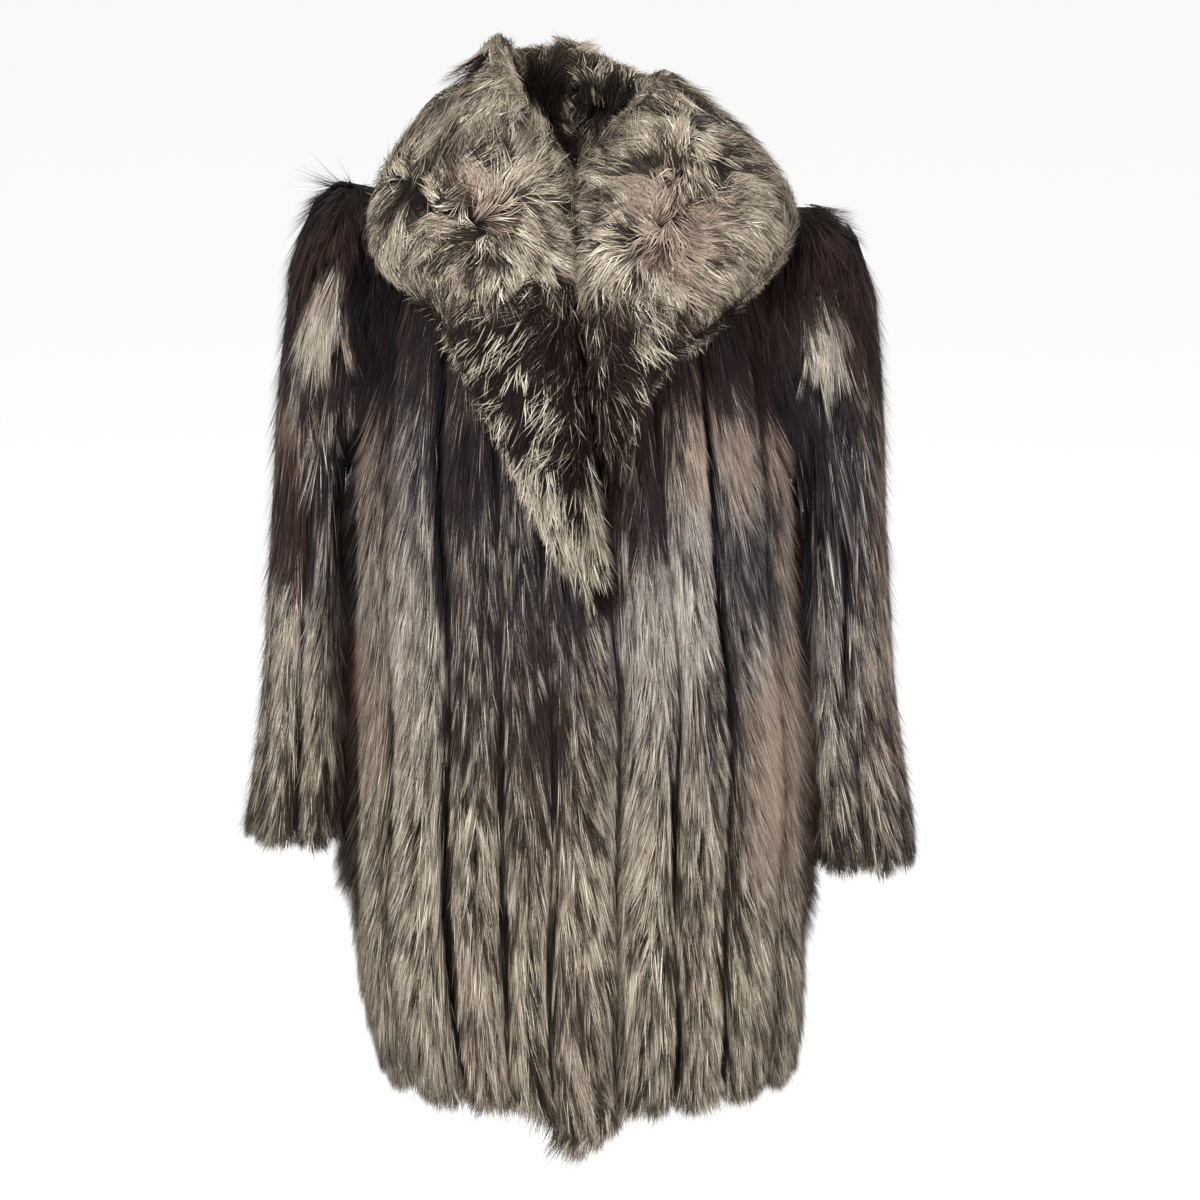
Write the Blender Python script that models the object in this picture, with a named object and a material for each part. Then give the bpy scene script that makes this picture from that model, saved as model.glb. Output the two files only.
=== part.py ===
"""A thigh-length fur coat of let-out fox strips, worn closed on a general figure.

Units are metres, +Z is up, -Y is the front and +X is the wearer's left. The origin lies between
the shoulders, where the coat bears on whoever wears it. The tables below are in millimetres.

Each cloth piece is a wall: pelt, lining and standing pile together. Its inside is plain, and its
outside carries the fur strips as long soft ribs with narrow grooves between them. The two fronts
and the back share one set of rings, the sleeves are lofted along the arm, and the two halves of
the shawl collar are lofted round the neck and down the lapels.
"""

import math
from collections import namedtuple

import bpy
import numpy as np

MM = 0.001

# The wall and its strips
WALL = 30 * MM  # pelt, lining and pile
GROOVE = 10 * MM  # how far the pile sinks between two strips
STRIP_TURNS = (0.0, 0.2, 0.5, 0.8)  # where a strip's width is sampled, from groove to groove
SEAM_GAP = 0.3 * MM
SEAT_GAP = 0.5 * MM  # what lies on, or passes through, a ribbed panel
WANDER = 0.05  # how far a groove strays sideways, in strip widths
WANDER_WAVE = 0.37  # metres of height for one wander

# The fronts
UNDERLAP = 60 * MM  # how far the left front reaches in below the right one
UNDERLAP_WALL = 9 * MM  # the underlap's pile is pressed flat
LAP_RAMP = 12 * MM  # over which the right front settles from the underlap onto the body's line
LEAST_WALL = 2.5 * MM
EDGE_ROUND = 14 * MM  # width of the right front's rounded edge
EDGE_DROP = 16 * MM  # how far the pile falls away there
FLANK = 16 * MM  # width of the left front's slope up from its underlap
FOOT = 1 * MM  # the slope starts this far from the right front's edge
CORNER_DIP = 43 * MM  # the right front's corner hangs lower than the hem
CORNER_AT = 28 * MM  # its middle, back from the front edge
CORNER_REACH = 50 * MM
CORNER_HEIGHT = 150 * MM
SWELL = 16 * MM  # the left front's pile stands out beside the arm
SWELL_PLACE = (0.165, -0.515)  # its middle, x and z
SWELL_SIZE = (0.05, 0.13)
SWELL_FRONT = 80 * MM  # it sets in over this distance in front of the sides

# The hem and the cuffs
ROUND_OFF = 40 * MM  # height over which the pile tapers to the edge
EDGE_SHARE = 0.35  # share of the wall left at the very edge
SCALLOP = 14 * MM  # a groove ends higher than the strips beside it
SCALLOP_HEIGHT = 50 * MM

# One shoulder hangs lower than the other
SHOULDER_SLOPE = 0.05
SLOPE_ENDS = (-0.45, -0.10)  # the body is level below the first height and slopes above the second

BACK_STRIPS = 8
FRONT_STRIPS = (61, 41, 48, 57, 52, 48)  # widths in order from the front edge to the side seam
SLEEVE_STRIPS = 8

# The plain inside of the body, ring by ring from the hem to the neck.
# height at the sides; half_width; front and back reach; shift to the wearer's left; drop of the
# front below the sides; square (2 is an ellipse); edge, the x of the right front's edge
Ring = namedtuple("Ring", "height half_width front back shift drop square edge")
BODY_RINGS = (
    Ring(-836, 167, 127, 132, 15, 0, 2.5, 37),
    Ring(-760, 180, 135, 137, 9, 0, 2.6, 38),
    Ring(-690, 184, 138, 138, 4, 0, 2.6, 38),
    Ring(-625, 182, 138, 136, 1, 0, 2.6, 37),
    Ring(-540, 180, 138, 132, 0, 0, 2.6, 39),
    Ring(-440, 179, 137, 125, 0, 0, 2.6, 40),
    Ring(-340, 178, 136, 118, 0, 0, 2.6, 31),
    Ring(-250, 177, 133, 115, 0, 0, 2.6, 26),
    Ring(-170, 172, 125, 113, 0, 0, 2.5, 20),
    Ring(-100, 172, 113, 105, 0, 3, 2.4, 14),
    Ring(-50, 169, 100, 92, 0, 14, 2.3, 9),
    Ring(-22, 155, 93, 80, 0, 27, 2.2, 6),
    Ring(-6, 126, 88, 72, 0, 38, 2.1, 4),
    Ring(4, 100, 85, 67, 0, 43, 2.0, 3),
    Ring(12, 78, 82, 63, 0, 46, 2.0, 2),
)
HEM_STEPS = (0.0, 0.12, 0.36, 0.7)  # rings added near the hem, in rows of the table

# The outside of a sleeve, section by section from the armhole to the cuff. A section spans from
# the under side to the over side, given as distance out from the coat's middle and height, and
# reaches as far to the front as to the back of its centre.
Section = namedtuple("Section", "under_out under_height over_out over_height depth centre")
SLEEVE_SECTIONS = (
    Section(164, -212, 158, -24, 80, 0),
    Section(182, -232, 180, 6, 90, 0),
    Section(197, -240, 220, 14, 89, 0),
    Section(203, -246, 249, -6, 85, 0),
    Section(206, -250, 266, -64, 82, 0),
    Section(207, -257, 278, -140, 79, -1),
    Section(207, -270, 286, -210, 77, -2),
    Section(207, -300, 291, -285, 76, -4),
    Section(207, -400, 298, -396, 75, -8),
    Section(208, -490, 303, -490, 75, -11),
    Section(210, -550, 308, -550, 76, -13),
    Section(213, -597, 312, -597, 77, -14),
    Section(214, -622, 314, -622, 77, -15),
)
SLEEVE_WALLS = (10 * MM, 24 * MM, 22 * MM)  # against the body, on the outer side, front and back
HEAD_PUFF = {1: 10 * MM, -1: -8 * MM}  # the left sleeve's head is fuller than the right one's
PUFF_PLACE = (3.5, 2.2)  # its middle and reach, in sections
LEFT_CUFF_FLARE = 14 * MM
FLARE_FROM = -0.40
RIB_FADE = 3  # sections over which the sleeve's ribs rise from the armhole
SLEEVE_GROOVE = 8 * MM
RIGHT_SLIM = 12 * MM  # the right sleeve's outer pile lies flatter along the forearm
SLIM_PLACE = (7.5, 3.0)  # its middle and reach, in sections
OVAL_POWER = 2.3  # of a sleeve's section (2 is an ellipse)

# The collar, section by section from the centre back to the lapel's tip. Each section is a loop
# through the neck seam, the roll line, the middle of the face and the outer edge. Each of those
# is given as distance out from the coat's middle, y and height. Its hidden under side sinks into
# the body, which is cut away from it, by so much back and down.
Turn = namedtuple("Turn", "seam roll face edge sink")
RIGHT_COLLAR = (
    Turn((0.3, 66, 30), (0.3, 80, 120), (0.3, 146, 88), (0.3, 172, -40), (0, 0, -34)),
    Turn((46, 48, 30), (50, 60, 126), (104, 112, 92), (122, 134, -28), (0, 0, -34)),
    Turn((66, -4, 28), (66, -4, 147), (134, -8, 86), (184, -22, -14), (0, 0, -34)),
    Turn((58, -48, 8), (52, -66, 112), (128, -108, 46), (172, -108, -40), (0, 8, -34)),
    Turn((16, -78, -16), (6, -98, 44), (76, -172, -8), (124, -158, -70), (0, 18, -20)),
    Turn((0, -110, -64), (0, -165, -46), (48, -200, -82), (92, -180, -124), (0, 24, -4)),
    Turn((-8, -138, -140), (-10, -186, -134), (24, -204, -158), (58, -190, -186), (0, 24, 0)),
    Turn((-18, -148, -225), (-20, -194, -224), (0, -202, -238), (24, -192, -254), (0, 20, 0)),
    Turn((-29, -152, -318), (-31, -173, -318), (-26, -176, -324), (-18, -172, -332), (0, 12, 0)),
)
LEFT_COLLAR = (
    Turn((0.3, 66, 30), (0.3, 80, 120), (0.3, 146, 88), (0.3, 172, -40), (0, 0, -34)),
    Turn((46, 48, 28), (54, 60, 100), (112, 112, 68), (130, 134, -34), (0, 0, -34)),
    Turn((66, -4, 26), (78, -4, 114), (146, -8, 72), (194, -22, -8), (0, 0, -34)),
    Turn((58, -48, 8), (56, -66, 98), (134, -108, 44), (186, -108, -34), (0, 8, -34)),
    Turn((16, -78, -16), (8, -98, 40), (84, -172, -8), (138, -158, -76), (0, 18, -20)),
    Turn((6, -110, -64), (6, -165, -46), (46, -200, -76), (84, -180, -114), (0, 24, -4)),
    Turn((13, -135, -120), (13, -186, -116), (36, -200, -132), (60, -190, -148), (0, 24, 0)),
    Turn((22, -145, -170), (22, -188, -168), (34, -194, -176), (46, -188, -184), (0, 20, 0)),
    Turn((33, -150, -212), (33, -170, -212), (35, -172, -215), (38, -169, -219), (0, 12, 0)),
)
COLLAR_STEPS = 3  # sections lofted between two rows of the table
UNDER_SHARE = 0.3  # how far in from the edge the under side turns down into the body
STAND_BULGE = 0.02  # how far the section bulges between its main points, as shares of its depth
FACE_BULGE = 0.16
EDGE_BULGE = 0.10
TIP_HOLLOW = {1: 0.15, -1: 0.26}  # how far the face falls in beside each half's raised tip
TIP_END = 3.2  # sections over which it does

# The cutters that keep the pieces clear of each other
CUTTER_COLUMNS = 56
BODY_CLEAR = 0.7 * MM  # between the collar and the crowns of the strips below it
SLEEVE_CLEAR = 0.4 * MM  # round the sleeve
ROOT_CLEAR = 2 * MM  # round its twisted first stretch, inside the armhole
CUTTER_FROM = 5  # the body's cutter starts at this ring
NOSE_SCALE = 0.8  # the sleeve's cutter narrows to this where it passes through the body's wall
NOSE_REACH = 30 * MM

# How finely curves are sampled and slopes measured
RING_SAMPLES = 721
OVAL_SAMPLES = 361
SIDE_STEP = 0.012  # turns
UP_STEP = 0.06  # rings
SHARP_ANGLE = math.radians(50)

COLOURS = {
    "back": (0.20, 0.165, 0.135),
    "front_right": (0.21, 0.17, 0.14),
    "front_left": (0.22, 0.175, 0.14),
    "sleeve_right": (0.25, 0.21, 0.17),
    "sleeve_left": (0.24, 0.195, 0.155),
    "collar_right": (0.46, 0.40, 0.33),
    "collar_left": (0.44, 0.37, 0.31),
}


def clear_scene():
    for obj in list(bpy.data.objects):
        bpy.data.objects.remove(obj, do_unlink=True)


def named_collection(name):
    collection = bpy.data.collections.new(name)
    bpy.context.scene.collection.children.link(collection)
    return collection


def fur_material(name, colour):
    material = bpy.data.materials.new(name)
    material.use_nodes = True
    shader = material.node_tree.nodes["Principled BSDF"]
    shader.inputs["Base Color"].default_value = (*colour, 1.0)
    shader.inputs["Roughness"].default_value = 0.85
    shader.inputs["Metallic"].default_value = 0.0
    material.diffuse_color = (*colour, 1.0)
    return material


def smooth_step(low, high, value):
    share = np.clip((value - low) / (high - low), 0.0, 1.0)
    return share * share * (3.0 - 2.0 * share)


def through_rows(values, place):
    """Smooth values at a row number that may lie between rows, one row per entry of values."""
    values = np.asarray(values, float)
    slopes = np.gradient(values, axis=0)
    row = int(np.clip(math.floor(place), 0, len(values) - 2))
    share = min(max(place - row, 0.0), 1.0)
    start = (2 * share**3 - 3 * share**2 + 1) * values[row]
    start_slope = (share**3 - 2 * share**2 + share) * slopes[row]
    end = (3 * share**2 - 2 * share**3) * values[row + 1]
    end_slope = (share**3 - share**2) * slopes[row + 1]
    return start + start_slope + end + end_slope


def unit(vectors):
    return vectors / np.linalg.norm(vectors, axis=-1, keepdims=True)


# ---------------------------------------------------------------- meshes


def quad_grid(rows, columns, start=0, closed=False):
    """Quads over a grid of points numbered row by row from start."""
    across = columns if closed else columns - 1
    return [
        (
            start + row * columns + column,
            start + row * columns + (column + 1) % columns,
            start + (row + 1) * columns + (column + 1) % columns,
            start + (row + 1) * columns + column,
        )
        for row in range(rows - 1)
        for column in range(across)
    ]


def new_object(name, points, faces, collection):
    """A mesh object whose faces are turned to point outwards."""
    mesh = bpy.data.meshes.new(name)
    mesh.from_pydata([tuple(point) for point in points], [], faces)
    mesh.update()
    if enclosed_volume(mesh) < 0:
        mesh.flip_normals()
    mesh.shade_smooth()
    mesh.set_sharp_from_angle(angle=SHARP_ANGLE)
    obj = bpy.data.objects.new(name, mesh)
    collection.objects.link(obj)
    return obj


def enclosed_volume(mesh):
    points = np.array([vertex.co for vertex in mesh.vertices])
    mesh.calc_loop_triangles()
    corners = points[np.array([triangle.vertices for triangle in mesh.loop_triangles])]
    return float(np.einsum("ij,ij->i", corners[:, 0], np.cross(corners[:, 1], corners[:, 2])).sum())


def sheet_wall(name, inside, outside, collection):
    """A closed wall between two open grids of points, with plain rims on its four sides."""
    rows, columns = inside.shape[:2]
    second = rows * columns
    faces = quad_grid(rows, columns)
    faces += [tuple(reversed(face)) for face in quad_grid(rows, columns, second)]
    rim = list(range(columns))
    rim += [row * columns + columns - 1 for row in range(1, rows)]
    rim += [(rows - 1) * columns + column for column in range(columns - 2, -1, -1)]
    rim += [row * columns for row in range(rows - 2, 0, -1)]
    for here, there in zip(rim, rim[1:] + rim[:1]):
        faces.append((here, second + here, second + there, there))
    points = np.concatenate([inside.reshape(-1, 3), outside.reshape(-1, 3)])
    return new_object(name, points, faces, collection)


def tube_wall(name, inside, outside, collection):
    """A closed wall between two tubes of points, joined by a rim at each end."""
    rows, columns = inside.shape[:2]
    second = rows * columns
    faces = quad_grid(rows, columns, closed=True)
    faces += [tuple(reversed(face)) for face in quad_grid(rows, columns, second, closed=True)]
    for start in (0, (rows - 1) * columns):
        for column in range(columns):
            here, there = start + column, start + (column + 1) % columns
            ends = (here, second + here, second + there, there)
            faces.append(ends if start == 0 else tuple(reversed(ends)))
    points = np.concatenate([inside.reshape(-1, 3), outside.reshape(-1, 3)])
    return new_object(name, points, faces, collection)


def filled_tube(name, rings, collection):
    """A closed solid through rings of points, with a flat fan over each end."""
    rows, columns = rings.shape[:2]
    faces = quad_grid(rows, columns, closed=True)
    first, last = rows * columns, rows * columns + 1
    for column in range(columns):
        here, there = column, (column + 1) % columns
        faces.append((first, there, here))
        top = (rows - 1) * columns
        faces.append((last, top + here, top + there))
    centres = [rings[0].mean(axis=0), rings[-1].mean(axis=0)]
    points = np.concatenate([rings.reshape(-1, 3), centres])
    return new_object(name, points, faces, collection)


def cut_away(obj, cutter):
    modifier = obj.modifiers.new("clear of " + cutter.name, "BOOLEAN")
    modifier.operation = "DIFFERENCE"
    modifier.solver = "EXACT"
    modifier.object = cutter


def as_cutter(obj):
    obj.hide_render = True
    obj.display_type = "WIRE"
    return obj


# ---------------------------------------------------------------- the body


def ring_curve(place):
    """One ring of the body's inside, finely sampled: turns and points.

    Turns run from 0 at the wearer's left side seam, over 0.5 at the centre back and 1 at the
    right side seam, to 1.5 at the centre front and 2. Each half is shared out by its length.
    """
    height, half_width, front, back, shift, drop, square, _ = through_rows(BODY_RINGS, place)
    angle = np.linspace(0.0, 2 * math.pi, RING_SAMPLES)
    cosine, sine = np.cos(angle), np.sin(angle)
    x = half_width * np.sign(cosine) * np.abs(cosine) ** (2 / square) + shift
    reach = np.where(sine > 0, back, front)
    y = reach * np.sign(sine) * np.abs(sine) ** (2 / square)
    z = height - drop * np.clip(-sine, 0.0, 1.0) ** 1.5
    points = np.stack([x, y, z], axis=1) * MM
    points[:, 2] -= shoulder_drop(points)
    lengths = np.concatenate([[0], np.cumsum(np.linalg.norm(np.diff(points, axis=0), axis=1))])
    half = lengths[360]
    turns = np.where(lengths <= half, lengths / half, 1 + (lengths - half) / (lengths[-1] - half))
    return turns, points, lengths[-1] - half


def shoulder_drop(points):
    low, high = SLOPE_ENDS
    return SHOULDER_SLOPE * points[..., 0] * smooth_step(low, high, points[..., 2])


def on_ring(place, turns):
    known, points, _ = ring_curve(place)
    wrapped = np.mod(turns, 2.0)
    return np.stack([np.interp(wrapped, known, points[:, axis]) for axis in range(3)], axis=-1)


def body_surface(places, turns):
    """Points and outward normals of the plain inside, for a grid of turns, one row per place."""
    points, normals = [], []
    for place, row_turns in zip(places, turns):
        along = on_ring(place, row_turns + SIDE_STEP) - on_ring(place, row_turns - SIDE_STEP)
        above = on_ring(min(place + UP_STEP, len(BODY_RINGS) - 1), row_turns)
        below = on_ring(max(place - UP_STEP, 0), row_turns)
        points.append(on_ring(place, row_turns))
        normals.append(unit(np.cross(along, above - below)))
    return np.array(points), np.array(normals)


def arch(share):
    """The rise across one strip, 0 in the grooves and 1 on the crown."""
    return 1.0 - np.abs(2.0 * share - 1.0) ** 3


def strip_columns(widths):
    """Columns over a run of strips: share of the run, strip number and share of the strip."""
    edges = np.concatenate([[0.0], np.cumsum(widths)]) / sum(widths)
    columns = []
    for number, (start, end) in enumerate(zip(edges, edges[1:])):
        for turn in STRIP_TURNS:
            columns.append((start + turn * (end - start), number, turn))
    columns.append((1.0, len(widths) - 1, 1.0))
    return np.array(columns)


def wandered(columns, height, widths):
    """The columns' shares with each groove led a little aside, differently at each height."""
    edges = np.concatenate([[0.0], np.cumsum(widths)]) / sum(widths)
    number = np.arange(len(edges))
    stray = WANDER * np.sin(2 * math.pi * height / WANDER_WAVE + 1.7 * number) / len(widths)
    stray[0] = stray[-1] = 0.0
    starts = (edges + stray)[columns[:, 1].astype(int)]
    ends = (edges + stray)[columns[:, 1].astype(int) + 1]
    return starts + columns[:, 2] * (ends - starts)


def body_places():
    return np.array(list(HEM_STEPS) + list(range(1, len(BODY_RINGS))))


def column_at(name, place):
    """One column of the body's table, in metres, at a row number that may lie between rows."""
    return through_rows([getattr(ring, name) for ring in BODY_RINGS], place) * MM


def above_hem(points):
    return points[..., 2] - BODY_RINGS[0].height * MM


def round_off(above):
    """Share of the wall's thickness at a height above the hem or cuff."""
    rise = np.clip(above / ROUND_OFF, 0.0, 1.0)
    return EDGE_SHARE + (1.0 - EDGE_SHARE) * np.sqrt(1.0 - (1.0 - rise) ** 2)


def hem_shift(above, arches, from_edge=None):
    """How far the hem moves up at the grooves and down at the right front's corner."""
    shift = SCALLOP * (1.0 - arches) * (1.0 - smooth_step(0.0, SCALLOP_HEIGHT, above))
    if from_edge is not None:
        aside = np.clip(np.abs(from_edge - CORNER_AT) / CORNER_REACH, 0.0, 1.0)
        fade = 1.0 - smooth_step(0.0, CORNER_HEIGHT, above)
        shift = shift - CORNER_DIP * np.cos(aside * math.pi / 2) ** 2 * fade
    return shift


def swell(points):
    away_x = (points[..., 0] - SWELL_PLACE[0]) / SWELL_SIZE[0]
    away_z = (points[..., 2] - SWELL_PLACE[1]) / SWELL_SIZE[1]
    to_front = smooth_step(0.0, SWELL_FRONT, -points[..., 1])
    return SWELL * np.exp(-(away_x**2) - away_z**2) * to_front


def make_back(collection):
    widths = [1.0] * BACK_STRIPS
    columns = strip_columns(widths)
    places = body_places()
    turns = []
    for place in places:
        trim = SEAM_GAP / 2 / ring_curve(place)[2]
        shares = wandered(columns, column_at("height", place), widths)
        turns.append(trim + shares * (1.0 - 2.0 * trim))
    inside, normals = body_surface(places, turns)
    arches = np.broadcast_to(arch(columns[:, 2]), inside.shape[:2])
    above = above_hem(inside)
    thickness = (WALL - GROOVE * (1.0 - arches)) * round_off(above)
    outside = inside + normals * thickness[..., None]
    shift = hem_shift(above, arches)
    inside[..., 2] += shift
    outside[..., 2] += shift
    return sheet_wall("back", inside, outside, collection)


def front_row(place):
    """Turn of the right front's edge at this ring, and turns per metre along the front."""
    _, _, length = ring_curve(place)
    edge = column_at("edge", place) - column_at("shift", place)
    return 1.5 + edge / length, 1.0 / length


def make_front_right(collection):
    """The overlapping front, from its edge round to the right side seam."""
    lap = UNDERLAP + SEAT_GAP
    plain = np.array([0.0, EDGE_ROUND / 3, EDGE_ROUND, lap, lap + LAP_RAMP])
    columns = strip_columns(FRONT_STRIPS)
    places = body_places()
    turns, distances, arches = [], [], []
    for place in places:
        edge, per_metre = front_row(place)
        trim = SEAM_GAP / 2 * per_metre
        run = edge - (1.0 + trim)
        shares = wandered(columns, column_at("height", place), FRONT_STRIPS)
        away = shares * run / per_metre
        rises = np.where((columns[:, 1] == 0) & (columns[:, 2] < 0.5), 1.0, arch(columns[:, 2]))
        merged = np.concatenate([away[columns[:, 0] > 0.0], plain])
        merged_rises = np.concatenate(
            [rises[columns[:, 0] > 0.0], np.interp(plain, away, rises)]
        )
        order = np.argsort(merged, kind="stable")
        distances.append(merged[order])
        arches.append(merged_rises[order])
        turns.append(edge - merged[order] * per_metre)
    distances, arches = np.array(distances), np.array(arches)
    base, normals = body_surface(places, turns)
    above = above_hem(base)
    rounding = round_off(above)
    lifted = 1.0 - smooth_step(lap, lap + LAP_RAMP, distances)
    lift = (UNDERLAP_WALL * rounding + SEAT_GAP) * lifted
    fall = EDGE_DROP * np.clip(1.0 - distances / EDGE_ROUND, 0.0, 1.0) ** 2
    thickness = (WALL - GROOVE * (1.0 - arches) - fall) * rounding
    thickness = np.maximum(thickness, lift + LEAST_WALL)
    inside = base + normals * lift[..., None]
    outside = base + normals * thickness[..., None]
    shift = hem_shift(above, arches, distances)
    inside[..., 2] += shift
    outside[..., 2] += shift
    return sheet_wall("front_right", inside, outside, collection)


def make_front_left(collection):
    """The other front, from the end of its underlap round to the left side seam."""
    plain = np.array([-UNDERLAP, -UNDERLAP / 2, FOOT / 2, 2 * FOOT, FLANK / 2])
    strips = FRONT_STRIPS[1:]
    columns = strip_columns(strips)
    places = body_places()
    turns, distances, arches = [], [], []
    for place in places:
        edge, per_metre = front_row(place)
        trim = SEAM_GAP / 2 * per_metre
        run = (2.0 - trim - edge) / per_metre - FLANK
        shares = wandered(columns, column_at("height", place), strips)
        away = FLANK + shares * run
        rises = np.where((columns[:, 1] == 0) & (columns[:, 2] < 0.5), 1.0, arch(columns[:, 2]))
        merged = np.concatenate([plain, away])
        distances.append(merged)
        arches.append(np.concatenate([np.ones(len(plain)), rises]))
        turns.append(edge + merged * per_metre)
    distances, arches = np.array(distances), np.array(arches)
    inside, normals = body_surface(places, turns)
    above = above_hem(inside)
    full = WALL - GROOVE * (1.0 - arches) + swell(inside)
    rise = np.clip((distances - FOOT) / (FLANK - FOOT), 0.0, 1.0)
    rise = np.sqrt(1.0 - (1.0 - rise) ** 2)
    thickness = (UNDERLAP_WALL + (full - UNDERLAP_WALL) * rise) * round_off(above)
    outside = inside + normals * thickness[..., None]
    shift = hem_shift(above, arches)
    inside[..., 2] += shift
    outside[..., 2] += shift
    return sheet_wall("front_left", inside, outside, collection)


def body_cutter(collection):
    """The body's upper half without its hollow, just larger than its fur."""
    places = np.arange(CUTTER_FROM, len(BODY_RINGS))
    turns = [np.arange(CUTTER_COLUMNS) * 2.0 / CUTTER_COLUMNS] * len(places)
    inside, normals = body_surface(places, turns)
    rings = inside + normals * (WALL + BODY_CLEAR)
    return as_cutter(filled_tube("cutter_body", rings, collection))


# ---------------------------------------------------------------- the sleeves


def sleeve_rows():
    last = len(SLEEVE_SECTIONS) - 1
    return np.array(list(range(last - 1)) + [last - 1, last - 0.55, last - 0.2, last])


def sleeve_frame(side, place):
    """Under and over points, depth and slimming of one section. Side is 1 for the wearer's left."""
    section = Section(*through_rows(SLEEVE_SECTIONS, place))
    flare = LEFT_CUFF_FLARE if side > 0 else 0.0
    under = np.array([side * section.under_out * MM, section.centre * MM, section.under_height * MM])
    over = np.array([side * section.over_out * MM, section.centre * MM, section.over_height * MM])
    spread = smooth_step(FLARE_FROM, SLEEVE_SECTIONS[-1].over_height * MM, over[2])
    puff = HEAD_PUFF[side] * math.exp(-(((place - PUFF_PLACE[0]) / PUFF_PLACE[1]) ** 2))
    slim = RIGHT_SLIM * math.exp(-(((place - SLIM_PLACE[0]) / SLIM_PLACE[1]) ** 2)) if side < 0 else 0.0
    over[0] += side * (flare * spread + puff - slim)
    for point in (under, over):
        point[2] -= SHOULDER_SLOPE * point[0]
    return under, over, section.depth * MM, slim


def oval(under, over, depth, turns):
    """Points round the oval section from its under side, shared out by length."""
    angle = np.linspace(0.0, 2 * math.pi, OVAL_SAMPLES)
    middle, half = (under + over) / 2, (over - under) / 2
    cosine, sine = np.cos(angle), np.sin(angle)
    along = -np.sign(cosine) * np.abs(cosine) ** (2 / OVAL_POWER)
    across = np.sign(sine) * np.abs(sine) ** (2 / OVAL_POWER)
    across_axis = np.array([0.0, 1.0, 0.0])
    points = middle + along[:, None] * half + across[:, None] * depth * across_axis
    steps = np.linalg.norm(np.diff(points, axis=0), axis=1)
    shares = np.concatenate([[0], np.cumsum(steps)]) / steps.sum()
    return np.stack([np.interp(turns, shares, points[:, axis]) for axis in range(3)], axis=-1)


def sleeve_shares(side, height):
    """The sleeve's columns at one height, as shares of the way round, and their rises."""
    widths = [1.0] * SLEEVE_STRIPS
    columns = strip_columns(widths)[:-1]
    return wandered(columns, height + side, widths), arch(columns[:, 2])


def make_sleeve(name, side, collection):
    at_body, at_outer, at_sides = SLEEVE_WALLS
    inner_rows, outer_rows = [], []
    last = len(SLEEVE_SECTIONS) - 1
    cuff_height = SLEEVE_SECTIONS[-1].over_height * MM
    for place in sleeve_rows():
        under, over, depth, slim = sleeve_frame(side, place)
        direction = unit(over - under)
        height = (under[2] + over[2]) / 2
        shares, arches = sleeve_shares(side, height)
        crown = oval(under, over, depth, shares)
        plain = oval(
            under + direction * at_body,
            over - direction * (at_outer - slim),
            depth - at_sides,
            shares,
        )
        middle = (under + over) / 2
        fade = smooth_step(0.0, RIB_FADE, place)
        sink = SLEEVE_GROOVE * (1.0 - arches) * fade
        ribbed = crown - unit(crown - middle) * sink[:, None]
        above = max(height - cuff_height, 0.0) if place > last - 2 else SCALLOP_HEIGHT
        share = round_off(above) if place < last else EDGE_SHARE
        outer = plain + (ribbed - plain) * share
        lift = SCALLOP * (1.0 - arches) * (1.0 - smooth_step(0.0, SCALLOP_HEIGHT, above))
        for row in (plain, outer):
            row[:, 2] += lift
        inner_rows.append(plain)
        outer_rows.append(outer)
    return tube_wall(name, np.array(inner_rows), np.array(outer_rows), collection)


def sleeve_cutter(name, side, collection):
    """The sleeve's outer form, filled and just larger, with a nose through the body's wall."""
    rings = []
    for place in sleeve_rows():
        under, over, depth, _ = sleeve_frame(side, place)
        clear = SLEEVE_CLEAR if place > 0 else ROOT_CLEAR
        grow = unit(over - under) * clear
        shares, _ = sleeve_shares(side, (under[2] + over[2]) / 2)
        rings.append(oval(under - grow, over + grow, depth + clear, shares))
    nose = rings[0].mean(axis=0) + (rings[0] - rings[0].mean(axis=0)) * NOSE_SCALE
    nose[:, 0] -= side * NOSE_REACH
    return as_cutter(filled_tube(name, np.array([nose] + rings), collection))


# ---------------------------------------------------------------- the collar


def closed_curve(controls, per_span):
    """A smooth closed loop through the control points."""
    count = len(controls)
    points = []
    for number in range(count):
        before, start = controls[number - 1], controls[number]
        end, after = controls[(number + 1) % count], controls[(number + 2) % count]
        for step in range(per_span[number]):
            t = step / per_span[number]
            points.append(
                start
                + 0.5 * t * (end - before)
                + t**2 * (before - 2.5 * start + 2 * end - 0.5 * after)
                + 0.5 * t**3 * (3 * start - before - 3 * end + after)
            )
    return np.array(points)


def face_bulge(side, place):
    """How far the face bulges at one section. Beside the tip it falls in instead."""
    return FACE_BULGE - TIP_HOLLOW[side] * math.sin(math.pi * min(place / TIP_END, 1.0)) ** 2


def collar_loop(side, bulge, seam, roll, face, edge, sink):
    """One section of the collar: up the neck side, over the roll, down the face, back below."""
    under_edge = edge + (seam - edge) * UNDER_SHARE + sink
    under_seam = seam + sink
    stand = (seam + roll) / 2 + (seam - face) * STAND_BULGE
    upper = (roll + face) / 2 + (face - under_edge) * bulge
    lower = (face + edge) / 2 + (face - under_seam) * EDGE_BULGE
    controls = np.array([seam, stand, roll, upper, face, lower, edge, under_edge, under_seam])
    loop = closed_curve(controls, (1, 1, 2, 2, 2, 2, 2, 1, 1))
    loop[:, 0] *= side
    return loop


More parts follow.
